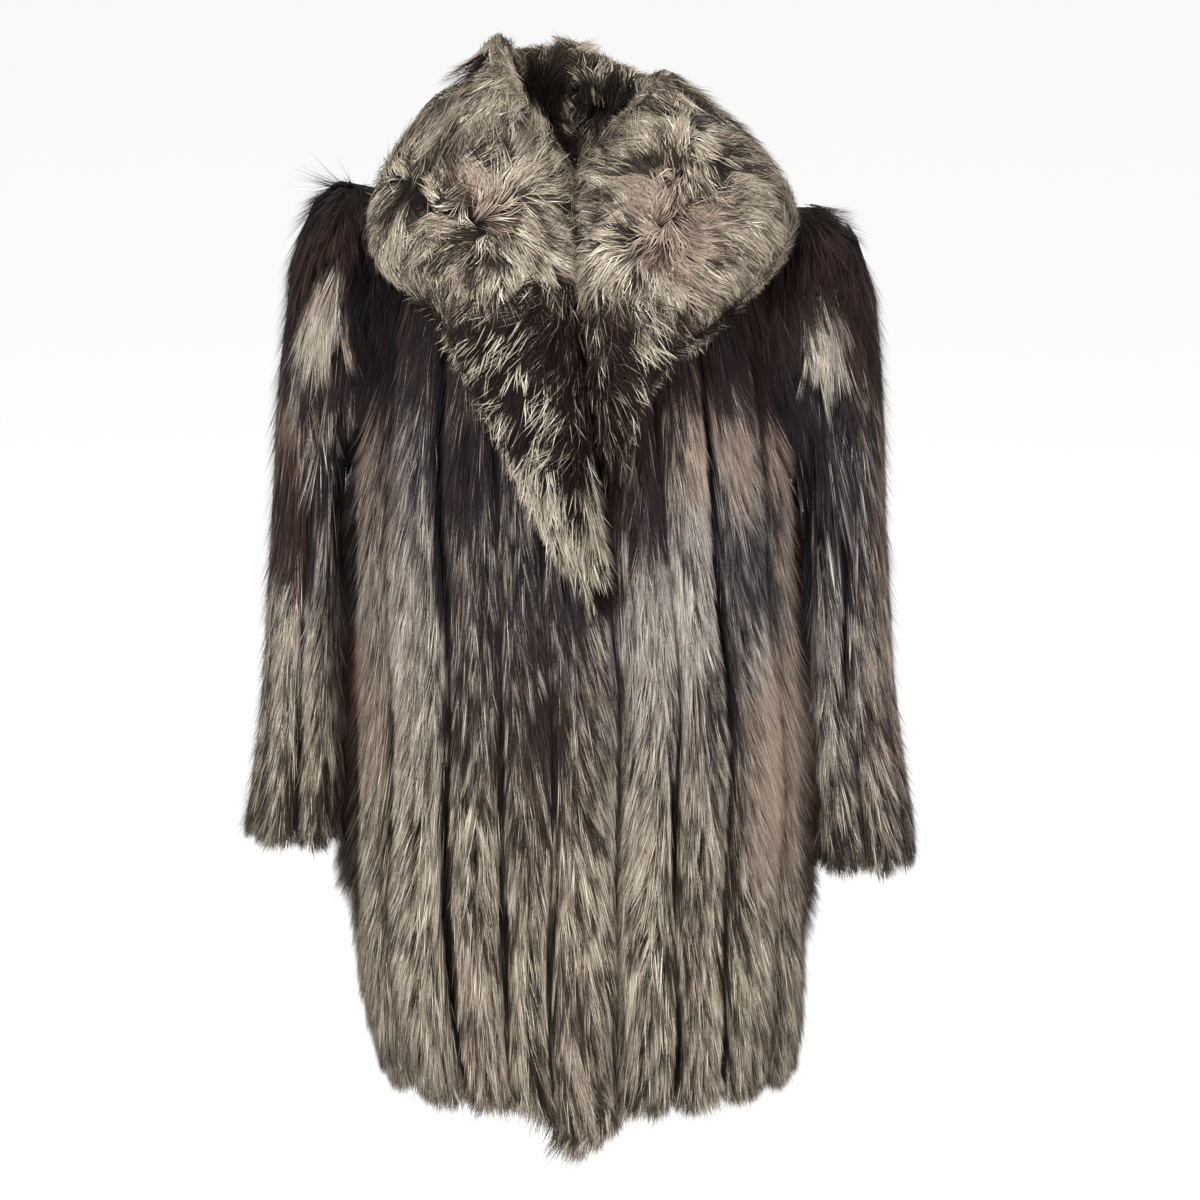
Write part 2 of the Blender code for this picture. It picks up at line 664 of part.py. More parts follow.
def make_collar(name, side, table, collection, cutters):
    places = np.arange((len(table) - 1) * COLLAR_STEPS + 1) / COLLAR_STEPS
    columns = [np.array([getattr(turn, field) for turn in table]) * MM for field in Turn._fields]
    loops = []
    for place in places:
        points = (through_rows(column, place) for column in columns)
        loops.append(collar_loop(side, face_bulge(side, place), *points))
    collar = filled_tube(name, np.array(loops), collection)
    for cutter in cutters:
        cut_away(collar, cutter)
    return collar


# ---------------------------------------------------------------- the coat


def build_coat():
    clear_scene()
    coat = named_collection("fur_coat")
    cutters = named_collection("cutters")
    cut_sleeves = {
        "sleeve_right": sleeve_cutter("cutter_sleeve_right", -1, cutters),
        "sleeve_left": sleeve_cutter("cutter_sleeve_left", 1, cutters),
    }
    cut_body = body_cutter(cutters)
    back = make_back(coat)
    front_right = make_front_right(coat)
    front_left = make_front_left(coat)
    for cutter in cut_sleeves.values():
        cut_away(back, cutter)
    cut_away(front_right, cut_sleeves["sleeve_right"])
    cut_away(front_left, cut_sleeves["sleeve_left"])
    make_sleeve("sleeve_right", -1, coat)
    make_sleeve("sleeve_left", 1, coat)
    sleeve_cuts = list(cut_sleeves.values())
    make_collar("collar_right", -1, RIGHT_COLLAR, coat, [sleeve_cuts[0], cut_body])
    make_collar("collar_left", 1, LEFT_COLLAR, coat, [sleeve_cuts[1], cut_body])
    for obj in coat.objects:
        obj.data.materials.append(fur_material(obj.name, COLOURS[obj.name]))


build_coat()
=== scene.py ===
"""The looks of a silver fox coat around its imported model: pelts, long fur, floor, light and camera.

Units are metres, +Z is up, -Y is the front and +X is the wearer's left. Each panel is a skin: a
grid of points on its plain inside and one on the crowns of its fur, with row 0 at its lower edge.
The pelts are the model's own walls made thinner, and the fur is rooted on them in strands that
follow the skin and reach the crowns.
"""

import math
from collections import namedtuple

import bmesh
import bpy
import numpy as np
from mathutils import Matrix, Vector
from mathutils.bvhtree import BVHTree
from mathutils.kdtree import KDTree


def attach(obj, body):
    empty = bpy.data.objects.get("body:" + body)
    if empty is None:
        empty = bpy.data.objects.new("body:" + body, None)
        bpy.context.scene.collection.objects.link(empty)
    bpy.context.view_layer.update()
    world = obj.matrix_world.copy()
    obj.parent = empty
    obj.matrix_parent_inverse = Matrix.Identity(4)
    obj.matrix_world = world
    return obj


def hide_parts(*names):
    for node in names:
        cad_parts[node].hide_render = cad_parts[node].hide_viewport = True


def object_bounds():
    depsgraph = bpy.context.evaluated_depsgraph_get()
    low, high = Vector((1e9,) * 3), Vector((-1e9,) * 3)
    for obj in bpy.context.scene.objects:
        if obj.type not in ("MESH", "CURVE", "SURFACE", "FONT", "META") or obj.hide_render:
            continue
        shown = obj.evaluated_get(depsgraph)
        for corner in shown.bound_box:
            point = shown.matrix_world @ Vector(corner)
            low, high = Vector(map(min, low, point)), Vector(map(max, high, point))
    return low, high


MM = 0.001

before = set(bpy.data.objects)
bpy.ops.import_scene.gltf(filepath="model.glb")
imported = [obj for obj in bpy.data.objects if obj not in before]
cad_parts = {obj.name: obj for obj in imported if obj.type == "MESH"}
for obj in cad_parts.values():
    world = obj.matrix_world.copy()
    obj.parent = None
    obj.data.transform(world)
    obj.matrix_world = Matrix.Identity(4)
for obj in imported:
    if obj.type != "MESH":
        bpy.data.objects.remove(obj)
cad_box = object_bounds()

# -------------------------------------------------- the coat's sizes, as its solids have them

WALL = 30 * MM  # from the plain inside of a panel to the crowns of its strips
GROOVE = 10 * MM  # how much thinner the wall is between two strips
SEAM_GAP = 0.3 * MM
WANDER = 0.05  # how far a groove strays sideways, as a share of the panel's mean strip
WANDER_WAVE = 0.37
WANDER_PHASE = 1.7  # in radians, from one groove to the next
HEM_ROUND = 40 * MM  # height over which the wall grows to its full thickness
HEM_WALL = 0.35  # and its share of the thickness at the hem
EDGE_ROUND = 14 * MM  # the right front's free edge
EDGE_DROP = 16 * MM
FLANK = 16 * MM  # the left front's wall beside its underlap
FOOT = 1 * MM
FOOT_COLUMNS = 3
UNDERLAP_WALL = 9 * MM
CORNER_DIP = 43 * MM  # the right front's corner below the hem
CORNER_AT = 28 * MM
CORNER_REACH = 50 * MM
CORNER_HEIGHT = 150 * MM
SWELL = 16 * MM  # the left front's bulge beside the arm
SWELL_PLACE = (0.165, -0.515)
SWELL_SIZE = (0.05, 0.13)
SWELL_FRONT = 80 * MM
SCALLOP = 14 * MM  # one a strip, at hem and cuffs
SCALLOP_HEIGHT = 50 * MM
SHOULDER_SLOPE = 0.05
SLOPE_ENDS = (-0.45, -0.10)
DROP_POWER = 1.5
FRONT_TURN = 1.5  # straight ahead, where 2 turns go once round a ring
BACK_STRIPS = (1,) * 8
FRONT_STRIPS = (61, 41, 48, 57, 52, 48)
SLEEVE_STRIPS = (1,) * 8
SLEEVE_WALLS = (10 * MM, 24 * MM, 22 * MM)  # beside the body, outside, and front and back
HEAD_PUFF = {1: 10 * MM, -1: -8 * MM}
PUFF_PLACE = (3.5, 2.2)
LEFT_CUFF_FLARE = 14 * MM
FLARE_FROM = -0.40
CUFF_SECTIONS = 2  # over which the wall thins out
RIB_FADE = 3  # sections from the top over which a sleeve's grooves set in
SLEEVE_GROOVE = 8 * MM
RIGHT_SLIM = 12 * MM
SLIM_PLACE = (7.5, 3.0)
OVAL_POWER = 2.3
UNDER_SHARE = 0.3
STAND_BULGE = 0.02
FACE_BULGE = 0.16
EDGE_BULGE = 0.10
TIP_HOLLOW = {1: 0.15, -1: 0.26}
TIP_END = 3.2
SIDE_STEP = 0.012
UP_STEP = 0.06
SHARP_ANGLE = math.radians(50)

# How finely the skins are worked out
RING_SAMPLES = 721
OVAL_SAMPLES = 361
COLUMNS_PER_STRIP = 12
ROWS_PER_RING = 8  # also for each section of a sleeve
ROWS_PER_TURN = 12
LOOP_STEPS = 8  # columns between two controls of a collar section
COLLAR_DEPTH = 0.38  # of the collar's thickness lies under its outside, as its hair's depth
COLLAR_DEPTHS = (2 * MM, 15 * MM)
COLLAR_DEPTH_ELSE = 4 * MM  # where the solid has been cut away
COLLAR_TOP_ROW = 20  # a row whose face looks up
FAR = 0.2  # further than any wall is thick

# Rings of the body's inside from the hem up, in millimetres: half the width, how far it reaches to
# the front and back, its shift to the wearer's left, how far the front hangs lower, how square it is
# (a power), and how far the right front reaches past the middle
Ring = namedtuple("Ring", "height half_width front back shift drop square edge")
BODY_RINGS = (
    Ring(-836, 167, 127, 132, 15, 0, 2.5, 37),
    Ring(-760, 180, 135, 137, 9, 0, 2.6, 38),
    Ring(-690, 184, 138, 138, 4, 0, 2.6, 38),
    Ring(-625, 182, 138, 136, 1, 0, 2.6, 37),
    Ring(-540, 180, 138, 132, 0, 0, 2.6, 39),
    Ring(-440, 179, 137, 125, 0, 0, 2.6, 40),
    Ring(-340, 178, 136, 118, 0, 0, 2.6, 31),
    Ring(-250, 177, 133, 115, 0, 0, 2.6, 26),
    Ring(-170, 172, 125, 113, 0, 0, 2.5, 20),
    Ring(-100, 172, 113, 105, 0, 3, 2.4, 14),
    Ring(-50, 169, 100, 92, 0, 14, 2.3, 9),
    Ring(-22, 155, 93, 80, 0, 27, 2.2, 6),
    Ring(-6, 126, 88, 72, 0, 38, 2.1, 4),
    Ring(4, 100, 85, 67, 0, 43, 2.0, 3),
    Ring(12, 78, 82, 63, 0, 46, 2.0, 2),
)

# Sections of a sleeve from the shoulder down, in millimetres: across and height of their inner and
# outer ends, half the depth, and where the middle of that lies
Section = namedtuple("Section", "under_out under_height over_out over_height depth centre")
SLEEVE_SECTIONS = (
    Section(164, -212, 158, -24, 80, 0),
    Section(182, -232, 180, 6, 90, 0),
    Section(197, -240, 220, 14, 89, 0),
    Section(203, -246, 249, -6, 85, 0),
    Section(206, -250, 266, -64, 82, 0),
    Section(207, -257, 278, -140, 79, -1),
    Section(207, -270, 286, -210, 77, -2),
    Section(207, -300, 291, -285, 76, -4),
    Section(207, -400, 298, -396, 75, -8),
    Section(208, -490, 303, -490, 75, -11),
    Section(210, -550, 308, -550, 76, -13),
    Section(213, -597, 312, -597, 77, -14),
    Section(214, -622, 314, -622, 77, -15),
)

# Turns of a collar half from the centre back to its lower end, in millimetres across, deep and up:
# the neck seam, the roll, the crown of the face, the edge, and how far the underside sinks
Turn = namedtuple("Turn", "seam roll face edge sink")
RIGHT_COLLAR = (
    Turn((0.3, 66, 30), (0.3, 80, 120), (0.3, 146, 88), (0.3, 172, -40), (0, 0, -34)),
    Turn((46, 48, 30), (50, 60, 126), (104, 112, 92), (122, 134, -28), (0, 0, -34)),
    Turn((66, -4, 28), (66, -4, 147), (134, -8, 86), (184, -22, -14), (0, 0, -34)),
    Turn((58, -48, 8), (52, -66, 112), (128, -108, 46), (172, -108, -40), (0, 8, -34)),
    Turn((16, -78, -16), (6, -98, 44), (76, -172, -8), (124, -158, -70), (0, 18, -20)),
    Turn((0, -110, -64), (0, -165, -46), (48, -200, -82), (92, -180, -124), (0, 24, -4)),
    Turn((-8, -138, -140), (-10, -186, -134), (24, -204, -158), (58, -190, -186), (0, 24, 0)),
    Turn((-18, -148, -225), (-20, -194, -224), (0, -202, -238), (24, -192, -254), (0, 20, 0)),
    Turn((-29, -152, -318), (-31, -173, -318), (-26, -176, -324), (-18, -172, -332), (0, 12, 0)),
)
LEFT_COLLAR = (
    Turn((0.3, 66, 30), (0.3, 80, 120), (0.3, 146, 88), (0.3, 172, -40), (0, 0, -34)),
    Turn((46, 48, 28), (54, 60, 100), (112, 112, 68), (130, 134, -34), (0, 0, -34)),
    Turn((66, -4, 26), (78, -4, 114), (146, -8, 72), (194, -22, -8), (0, 0, -34)),
    Turn((58, -48, 8), (56, -66, 98), (134, -108, 44), (186, -108, -34), (0, 8, -34)),
    Turn((16, -78, -16), (8, -98, 40), (84, -172, -8), (138, -158, -76), (0, 18, -20)),
    Turn((6, -110, -64), (6, -165, -46), (46, -200, -76), (84, -180, -114), (0, 24, -4)),
    Turn((13, -135, -120), (13, -186, -116), (36, -200, -132), (60, -190, -148), (0, 24, 0)),
    Turn((22, -145, -170), (22, -188, -168), (34, -194, -176), (46, -188, -184), (0, 20, 0)),
    Turn((33, -150, -212), (33, -170, -212), (35, -172, -215), (38, -169, -219), (0, 12, 0)),
)

# -------------------------------------------------- small helpers


def smooth_step(low, high, value):
    """0 up to low and 1 from high on, with a smooth rise. Low may be the greater one."""
    share = np.clip((value - low) / (high - low), 0.0, 1.0)
    return share * share * (3.0 - 2.0 * share)


def unit(vectors):
    return vectors / np.maximum(np.linalg.norm(vectors, axis=-1, keepdims=True), 1e-9)


def dot(a, b):
    return (a * b).sum(axis=-1)


def length_of(vectors):
    return np.linalg.norm(vectors, axis=-1)


def bell(values, middle, reach):
    """1 at the middle, falling away to both sides."""
    return np.exp(-(((values - middle) / reach) ** 2))


def spread(pair, luck):
    """The first of a pair and a random share of the second."""
    return pair[0] + pair[1] * luck


def running_sums(values):
    return np.concatenate([[0.0], np.cumsum(values)])


def signed_power(values, power):
    """Powers that keep the sign, as for the sides of a squarish oval."""
    return np.sign(values) * np.abs(values) ** power


def along_curve(places, known, points):
    """Points at places along a curve whose known places and points are given."""
    return np.stack([np.interp(places, known, points[:, axis]) for axis in range(3)], axis=-1)


def flattened(vectors, normals):
    """Unit vectors without the part that runs along the normals."""
    return unit(vectors - normals * dot(vectors, normals)[:, None])


def swung(first, second, angles):
    """One set of vectors turned by the angles towards another."""
    return first * np.cos(angles)[:, None] + second * np.sin(angles)[:, None]


def tree_of(points):
    """A tree that finds the nearest of the points and its number."""
    tree = KDTree(len(points))
    for number, point in enumerate(points):
        tree.insert(point, number)
    tree.balance()
    return tree


def softened(grid, times, own=1):
    """A grid averaged with its neighbours, where own is the weight of a place itself."""
    for _ in range(times):
        padded = np.pad(grid, 1, mode="edge")
        around = padded[:-2, 1:-1] + padded[2:, 1:-1] + padded[1:-1, :-2] + padded[1:-1, 2:]
        grid = (around + own * grid) / (4 + own)
    return grid


def through_rows(values, place):
    """Smooth values at a row number that may lie between rows, one row per entry of values."""
    values = np.asarray(values, float)
    slopes = np.gradient(values, axis=0)
    row = int(np.clip(math.floor(place), 0, len(values) - 2))
    share = min(max(place - row, 0.0), 1.0)
    start = (2 * share**3 - 3 * share**2 + 1) * values[row]
    start_slope = (share**3 - 2 * share**2 + share) * slopes[row]
    end = (3 * share**2 - 2 * share**3) * values[row + 1]
    end_slope = (share**3 - share**2) * slopes[row + 1]
    return start + start_slope + end + end_slope


LATTICE = 32  # places a side after which the noise repeats


def noise(points, sizes, seed):
    """Smooth noise from 0 to 1 over points of three coordinates, with a patch size along each."""
    lattice = np.random.default_rng(seed).random((LATTICE, LATTICE, LATTICE))
    scaled = np.asarray(points) / np.asarray(sizes) + 100.0
    low = np.floor(scaled).astype(int)
    share = scaled - low
    share = share * share * (3.0 - 2.0 * share)
    total = 0.0
    for corner in np.ndindex(2, 2, 2):
        weight = np.prod(np.where(np.array(corner) == 1, share, 1.0 - share), axis=-1)
        total = total + weight * lattice[tuple(((low + corner) % LATTICE).T)]
    return total


def ripple(points, sizes, seed):
    """Smooth noise from -0.5 to 0.5, with one patch size or three."""
    return noise(points, sizes, seed) - 0.5


def add_object(name, data):
    obj = bpy.data.objects.new(name, data)
    bpy.context.scene.collection.objects.link(obj)
    return obj


# -------------------------------------------------- the skins

Skin = namedtuple("Skin", "inside outside normals strips closed")


def grid_normals(points, closed):
    """Unit normals of a grid from the differences between neighbours."""
    by_row = np.gradient(points, axis=0)
    if closed:
        wrapped = np.concatenate([points[:, -2:-1], points, points[:, 1:2]], axis=1)
        by_column = (wrapped[:, 2:] - wrapped[:, :-2]) / 2
    else:
        by_column = np.gradient(points, axis=1)
    return unit(np.cross(by_column, by_row))


def at(skin, values, rows, columns, run_on=True):
    """Values of a grid at fractional rows and columns. Past the edges they run on straight."""
    last_row, last_column = values.shape[0] - 1, values.shape[1] - 1
    if skin.closed:
        columns = np.mod(columns, last_column)
    row = np.clip(np.floor(rows), 0, last_row - 1).astype(int)
    column = np.clip(np.floor(columns), 0, last_column - 1).astype(int)
    down, across = rows - row, columns - column
    if not run_on:
        down, across = np.clip(down, 0, 1), np.clip(across, 0, 1)
    if values.ndim == 3:
        down, across = down[:, None], across[:, None]
    upper = values[row, column] * (1 - across) + values[row, column + 1] * across
    lower = values[row + 1, column] * (1 - across) + values[row + 1, column + 1] * across
    return upper * (1 - down) + lower * down


def arch(share):
    """Height of a strip over its share across: 0 at the grooves, 1 at the crest."""
    return 1.0 - np.abs(2.0 * share - 1.0) ** 3


def strip_shares(widths, height):
    """Shares of the run for the columns of one row, with the grooves led a little aside."""
    edges = running_sums(widths) / sum(widths)
    number = np.arange(len(edges))
    wave = np.sin(2 * math.pi * height / WANDER_WAVE + WANDER_PHASE * number)
    stray = WANDER * wave / len(widths)
    stray[0] = stray[-1] = 0.0
    columns = np.arange(len(widths) * COLUMNS_PER_STRIP + 1) / COLUMNS_PER_STRIP
    return np.interp(columns, number, edges + stray)


def strip_share(count):
    """Share of its own strip for each column."""
    columns = np.arange(count * COLUMNS_PER_STRIP + 1) / COLUMNS_PER_STRIP
    return columns - np.minimum(np.floor(columns), count - 1)


def ring_curve(place):
    """Turns and points round the body's inside at a ring number, and its front's length."""
    height, half_width, front, back, shift, drop, square, _ = through_rows(BODY_RINGS, place)
    angle = np.linspace(0.0, 2 * math.pi, RING_SAMPLES)
    cosine, sine = np.cos(angle), np.sin(angle)
    x = half_width * signed_power(cosine, 2 / square) + shift
    y = np.where(sine > 0, back, front) * signed_power(sine, 2 / square)
    z = height - drop * np.clip(-sine, 0.0, 1.0) ** DROP_POWER
    points = np.stack([x, y, z], axis=1) * MM
    points[:, 2] -= SHOULDER_SLOPE * points[:, 0] * smooth_step(*SLOPE_ENDS, points[:, 2])
    lengths = running_sums(length_of(np.diff(points, axis=0)))
    half = lengths[RING_SAMPLES // 2]
    turns = np.where(lengths <= half, lengths / half, 1 + (lengths - half) / (lengths[-1] - half))
    return turns, points, lengths[-1] - half


def on_ring(place, turns):
    """Points at turns round the body: 0 at the wearer's left, 0.5 behind, 1 at the right."""
    known, points, _ = ring_curve(place)
    return along_curve(np.mod(turns, 2.0), known, points)


def ring_value(name, place):
    """One of the rings' measures at a ring number, in metres."""
    return through_rows([getattr(ring, name) for ring in BODY_RINGS], place) * MM


def round_off(above):
    """Share of the full thickness, at heights above the lower edge."""
    rise = np.clip(above / HEM_ROUND, 0.0, 1.0)
    return HEM_WALL + (1.0 - HEM_WALL) * np.sqrt(1.0 - (1.0 - rise) ** 2)


def body_skin(strips, turn_at, thickness_at, corner=False):
    """A body panel. turn_at gives the turns and the distance from the front edge of one row."""
    places = np.arange(0.0, len(BODY_RINGS) - 1 + 1e-6, 1 / ROWS_PER_RING)
    inside, normals, aways = [], [], []
    for place in places:
        shares = strip_shares(strips, ring_value("height", place))
        turns, away = turn_at(place, shares)
        along = on_ring(place, turns + SIDE_STEP) - on_ring(place, turns - SIDE_STEP)
        above = on_ring(min(place + UP_STEP, len(BODY_RINGS) - 1), turns)
        below = on_ring(max(place - UP_STEP, 0), turns)
        inside.append(on_ring(place, turns))
        normals.append(unit(np.cross(along, above - below)))
        aways.append(away)
    inside, normals, aways = np.array(inside), np.array(normals), np.array(aways)
    rises = np.broadcast_to(arch(strip_share(len(strips))), aways.shape).copy()
    above = inside[..., 2] - BODY_RINGS[0].height * MM
    thickness = thickness_at(inside, rises, aways) * round_off(above)
    outside = inside + normals * thickness[..., None]
    shift = SCALLOP * (1.0 - rises) * (1.0 - smooth_step(0.0, SCALLOP_HEIGHT, above))
    if corner:
        aside = np.clip(np.abs(aways - CORNER_AT) / CORNER_REACH, 0.0, 1.0)
        fade = 1.0 - smooth_step(0.0, CORNER_HEIGHT, above)
        shift = shift - CORNER_DIP * np.cos(aside * math.pi / 2) ** 2 * fade
    inside[..., 2] += shift
    outside[..., 2] += shift
    return Skin(inside, outside, normals, len(strips), False)


def back_skin():
    def turns(place, shares):
        trim = SEAM_GAP / 2 / ring_curve(place)[2]
        return trim + shares * (1.0 - 2.0 * trim), np.ones(len(shares))

    return body_skin(BACK_STRIPS, turns, lambda inside, rises, away: WALL - GROOVE * (1 - rises))


def front_edge(place):
    """The turn at which the right front ends, and the turns in a metre of the front."""
    length = ring_curve(place)[2]
    edge = ring_value("edge", place) - ring_value("shift", place)
    return FRONT_TURN + edge / length, 1.0 / length


def front_right_skin():
    def turns(place, shares):
        edge, per_metre = front_edge(place)
        run = edge - (1.0 + SEAM_GAP / 2 * per_metre)
        return edge - shares * run, shares * run / per_metre

    def thickness(inside, rises, away):
        rises[:, : COLUMNS_PER_STRIP // 2] = 1.0
        fall = EDGE_DROP * np.clip(1.0 - away / EDGE_ROUND, 0.0, 1.0) ** 2
        return WALL - GROOVE * (1.0 - rises) - fall

    return body_skin(FRONT_STRIPS, turns, thickness, corner=True)


def swell(points):
    """The left front's bulge beside the arm, added to the wall at the points."""
    across = bell(points[..., 0], SWELL_PLACE[0], SWELL_SIZE[0])
    up = bell(points[..., 2], SWELL_PLACE[1], SWELL_SIZE[1])
    return SWELL * across * up * smooth_step(0.0, SWELL_FRONT, -points[..., 1])


def front_left_skin():
    def turns(place, shares):
        edge, per_metre = front_edge(place)
        run = (2.0 - SEAM_GAP / 2 * per_metre - edge) / per_metre - FLANK
        away = np.maximum(FLANK + shares * run, 0.0)
        lead = np.clip(1.0 - np.arange(len(shares)) / FOOT_COLUMNS, 0.0, 1.0)
        away = away - (FLANK - FOOT) * lead
        return edge + away * per_metre, away

    def thickness(inside, rises, away):
        rises[:, : COLUMNS_PER_STRIP // 2] = 1.0
        full = WALL - GROOVE * (1.0 - rises) + swell(inside)
        rise = np.clip((away - FOOT) / (FLANK - FOOT), 0.0, 1.0)
        return UNDERLAP_WALL + (full - UNDERLAP_WALL) * np.sqrt(1.0 - (1.0 - rise) ** 2)

    return body_skin(FRONT_STRIPS[1:], turns, thickness)


def sleeve_frame(side, place):
    """Inner and outer end, half depth and slimming of a sleeve at a section number."""
    section = Section(*through_rows(SLEEVE_SECTIONS, place))
    under = np.array([side * section.under_out, section.centre, section.under_height]) * MM
    over = np.array([side * section.over_out, section.centre, section.over_height]) * MM
    spread = smooth_step(FLARE_FROM, SLEEVE_SECTIONS[-1].over_height * MM, over[2])
    flare = LEFT_CUFF_FLARE * spread if side > 0 else 0.0
    puff = HEAD_PUFF[side] * bell(place, *PUFF_PLACE)
    slim = RIGHT_SLIM * bell(place, *SLIM_PLACE) if side < 0 else 0.0
    over[0] += side * (flare + puff - slim)
    for point in (under, over):
        point[2] -= SHOULDER_SLOPE * point[0]
    return under, over, section.depth * MM, slim


def oval(under, over, depth, turns):
    """Points round a sleeve's section, at turns from 0 to 1 that begin at its inner end."""
    angle = np.linspace(0.0, 2 * math.pi, OVAL_SAMPLES)
    middle, half = (under + over) / 2, (over - under) / 2
    cosine, sine = np.cos(angle), np.sin(angle)
    along = -signed_power(cosine, 2 / OVAL_POWER)
    across = signed_power(sine, 2 / OVAL_POWER)
    points = middle + along[:, None] * half + across[:, None] * depth * np.array([0.0, 1.0, 0.0])
    steps = length_of(np.diff(points, axis=0))
    return along_curve(turns, running_sums(steps) / steps.sum(), points)


def sleeve_skin(side):
    at_body, at_outer, at_sides = SLEEVE_WALLS
    last = len(SLEEVE_SECTIONS) - 1
    cuff_height = SLEEVE_SECTIONS[-1].over_height * MM
    rises = arch(strip_share(len(SLEEVE_STRIPS)))
    inside, outside = [], []
    for place in np.arange(last, -1e-6, -1 / ROWS_PER_RING):
        under, over, depth, slim = sleeve_frame(side, place)
        direction = unit(over - under)
        height = (under[2] + over[2]) / 2
        shares = strip_shares(SLEEVE_STRIPS, height + side)
        if side < 0:
            shares = shares[::-1]
        crown = oval(under, over, depth, shares)
        plain_over = over - direction * (at_outer - slim)
        plain = oval(under + direction * at_body, plain_over, depth - at_sides, shares)
        sink = SLEEVE_GROOVE * (1.0 - rises) * smooth_step(0.0, RIB_FADE, place)
        ribbed = crown - unit(crown - (under + over) / 2) * sink[:, None]
        at_cuff = place > last - CUFF_SECTIONS
        above = max(height - cuff_height, 0.0) if at_cuff else SCALLOP_HEIGHT
        outer = plain + (ribbed - plain) * round_off(above)
        lift = SCALLOP * (1.0 - rises) * (1.0 - smooth_step(0.0, SCALLOP_HEIGHT, above))
        for row in (plain, outer):
            row[:, 2] += lift
        inside.append(plain)
        outside.append(outer)
    inside, outside = np.array(inside), np.array(outside)
    normals = grid_normals(outside, True)
    middle = outside.mean(axis=1, keepdims=True)
    if dot(normals, outside - middle).mean() < 0:
        normals = -normals
    return Skin(inside, outside, normals, len(SLEEVE_STRIPS), True)


def loop_points(controls, steps):
    """A smooth curve through the controls of a closed loop, as far as the one before the last."""
    count = len(controls)
    points = []
    for number in range(count - 2):
        before, start = controls[number - 1], controls[number]
        end, after = controls[(number + 1) % count], controls[(number + 2) % count]
        for step in range(steps):
            t = step / steps
            points.append(
                start
                + 0.5 * t * (end - before)
                + t**2 * (before - 2.5 * start + 2 * end - 0.5 * after)
                + 0.5 * t**3 * (3 * start - before - 3 * end + after)
            )
    points.append(controls[count - 2])
    return np.array(points)


# Columns of a collar skin at its roll, at the crown of its face and at its edge
ROLL, FACE, EDGE = 2 * LOOP_STEPS, 4 * LOOP_STEPS, 6 * LOOP_STEPS


def face_bulge(side, place):
    return FACE_BULGE - TIP_HOLLOW[side] * math.sin(math.pi * min(place / TIP_END, 1.0)) ** 2


def collar_skin(side, table, solid):
    """The collar's fur from the neck seam over the roll and the face to just under the edge."""
    columns = [np.array([getattr(turn, field) for turn in table]) * MM for field in Turn._fields]
    rows = []
    for place in np.arange(0.0, len(table) - 1 + 1e-6, 1 / ROWS_PER_TURN):
        seam, roll, face, edge, sink = (through_rows(column, place) for column in columns)
        under_edge = edge + (seam - edge) * UNDER_SHARE + sink
        under_seam = seam + sink
        stand = (seam + roll) / 2 + (seam - face) * STAND_BULGE
        upper = (roll + face) / 2 + (face - under_edge) * face_bulge(side, place)
        lower = (face + edge) / 2 + (face - under_seam) * EDGE_BULGE
        controls = [seam, stand, roll, upper, face, lower, edge, under_edge, under_seam]
        loop = loop_points(controls, LOOP_STEPS)
        loop[:, 0] *= side
        rows.append(loop)
    outside = np.array(rows)
    normals = grid_normals(outside, False)
    if normals[COLLAR_TOP_ROW, FACE, 2] < 0:
        normals = -normals
    tree = BVHTree.FromPolygons(*solid)
    depths = np.full(outside.shape[:2], COLLAR_DEPTH_ELSE)
    for index in np.ndindex(depths.shape):
        start = Vector(outside[index] - normals[index] * MM)
        hit = tree.ray_cast(start, Vector(-normals[index]), FAR)
        if hit[3] is not None:
            depths[index] = hit[3]
    depths = softened(np.clip(depths * COLLAR_DEPTH, *COLLAR_DEPTHS), 3, own=0)
    inside = outside - normals * depths[..., None]
    return Skin(inside, outside, normals, 0, False)


# -------------------------------------------------- the model's own solids


def solid_of(name):
    """Points and faces of a node, with the points of its corners shared again."""
    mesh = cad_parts[name].data
    points = np.array([vertex.co for vertex in mesh.vertices])
    rounded = np.round(points, 5)
    _, first, index = np.unique(rounded, axis=0, return_index=True, return_inverse=True)
    faces = [tuple(int(index[v]) for v in polygon.vertices) for polygon in mesh.polygons]
    return [Vector(point) for point in points[first]], [f for f in faces if len(set(f)) == len(f)]


solids = {name: solid_of(name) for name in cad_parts}
trees = {name: BVHTree.FromPolygons(*solid) for name, solid in solids.items()}

skins = {
    "back": back_skin(),
    "front_right": front_right_skin(),
    "front_left": front_left_skin(),
    "sleeve_right": sleeve_skin(-1),
    "sleeve_left": sleeve_skin(1),
    "collar_right": collar_skin(-1, RIGHT_COLLAR, solids["collar_right"]),
    "collar_left": collar_skin(1, LEFT_COLLAR, solids["collar_left"]),
}


def kept_grid(name, skin, reach=3 * MM):
    """1 where the skin lies on its own solid, 0 where that has been cut away."""
    kept = np.zeros(skin.outside.shape[:2])
    for index in np.ndindex(kept.shape):
        kept[index] = trees[name].find_nearest(Vector(skin.outside[index]), reach)[0] is not None
    return kept


def covered_grid(skin, others, reach):
    """1 where another solid lies within reach above the skin."""
    covered = np.zeros(skin.outside.shape[:2])
    for index in np.ndindex(covered.shape):
        start = Vector(skin.outside[index] - skin.normals[index] * 2 * MM)
        along = Vector(skin.normals[index])
        covered[index] = any(
            trees[other].ray_cast(start, along, reach)[0] is not None for other in others
        )
    return covered


# -------------------------------------------------- strands

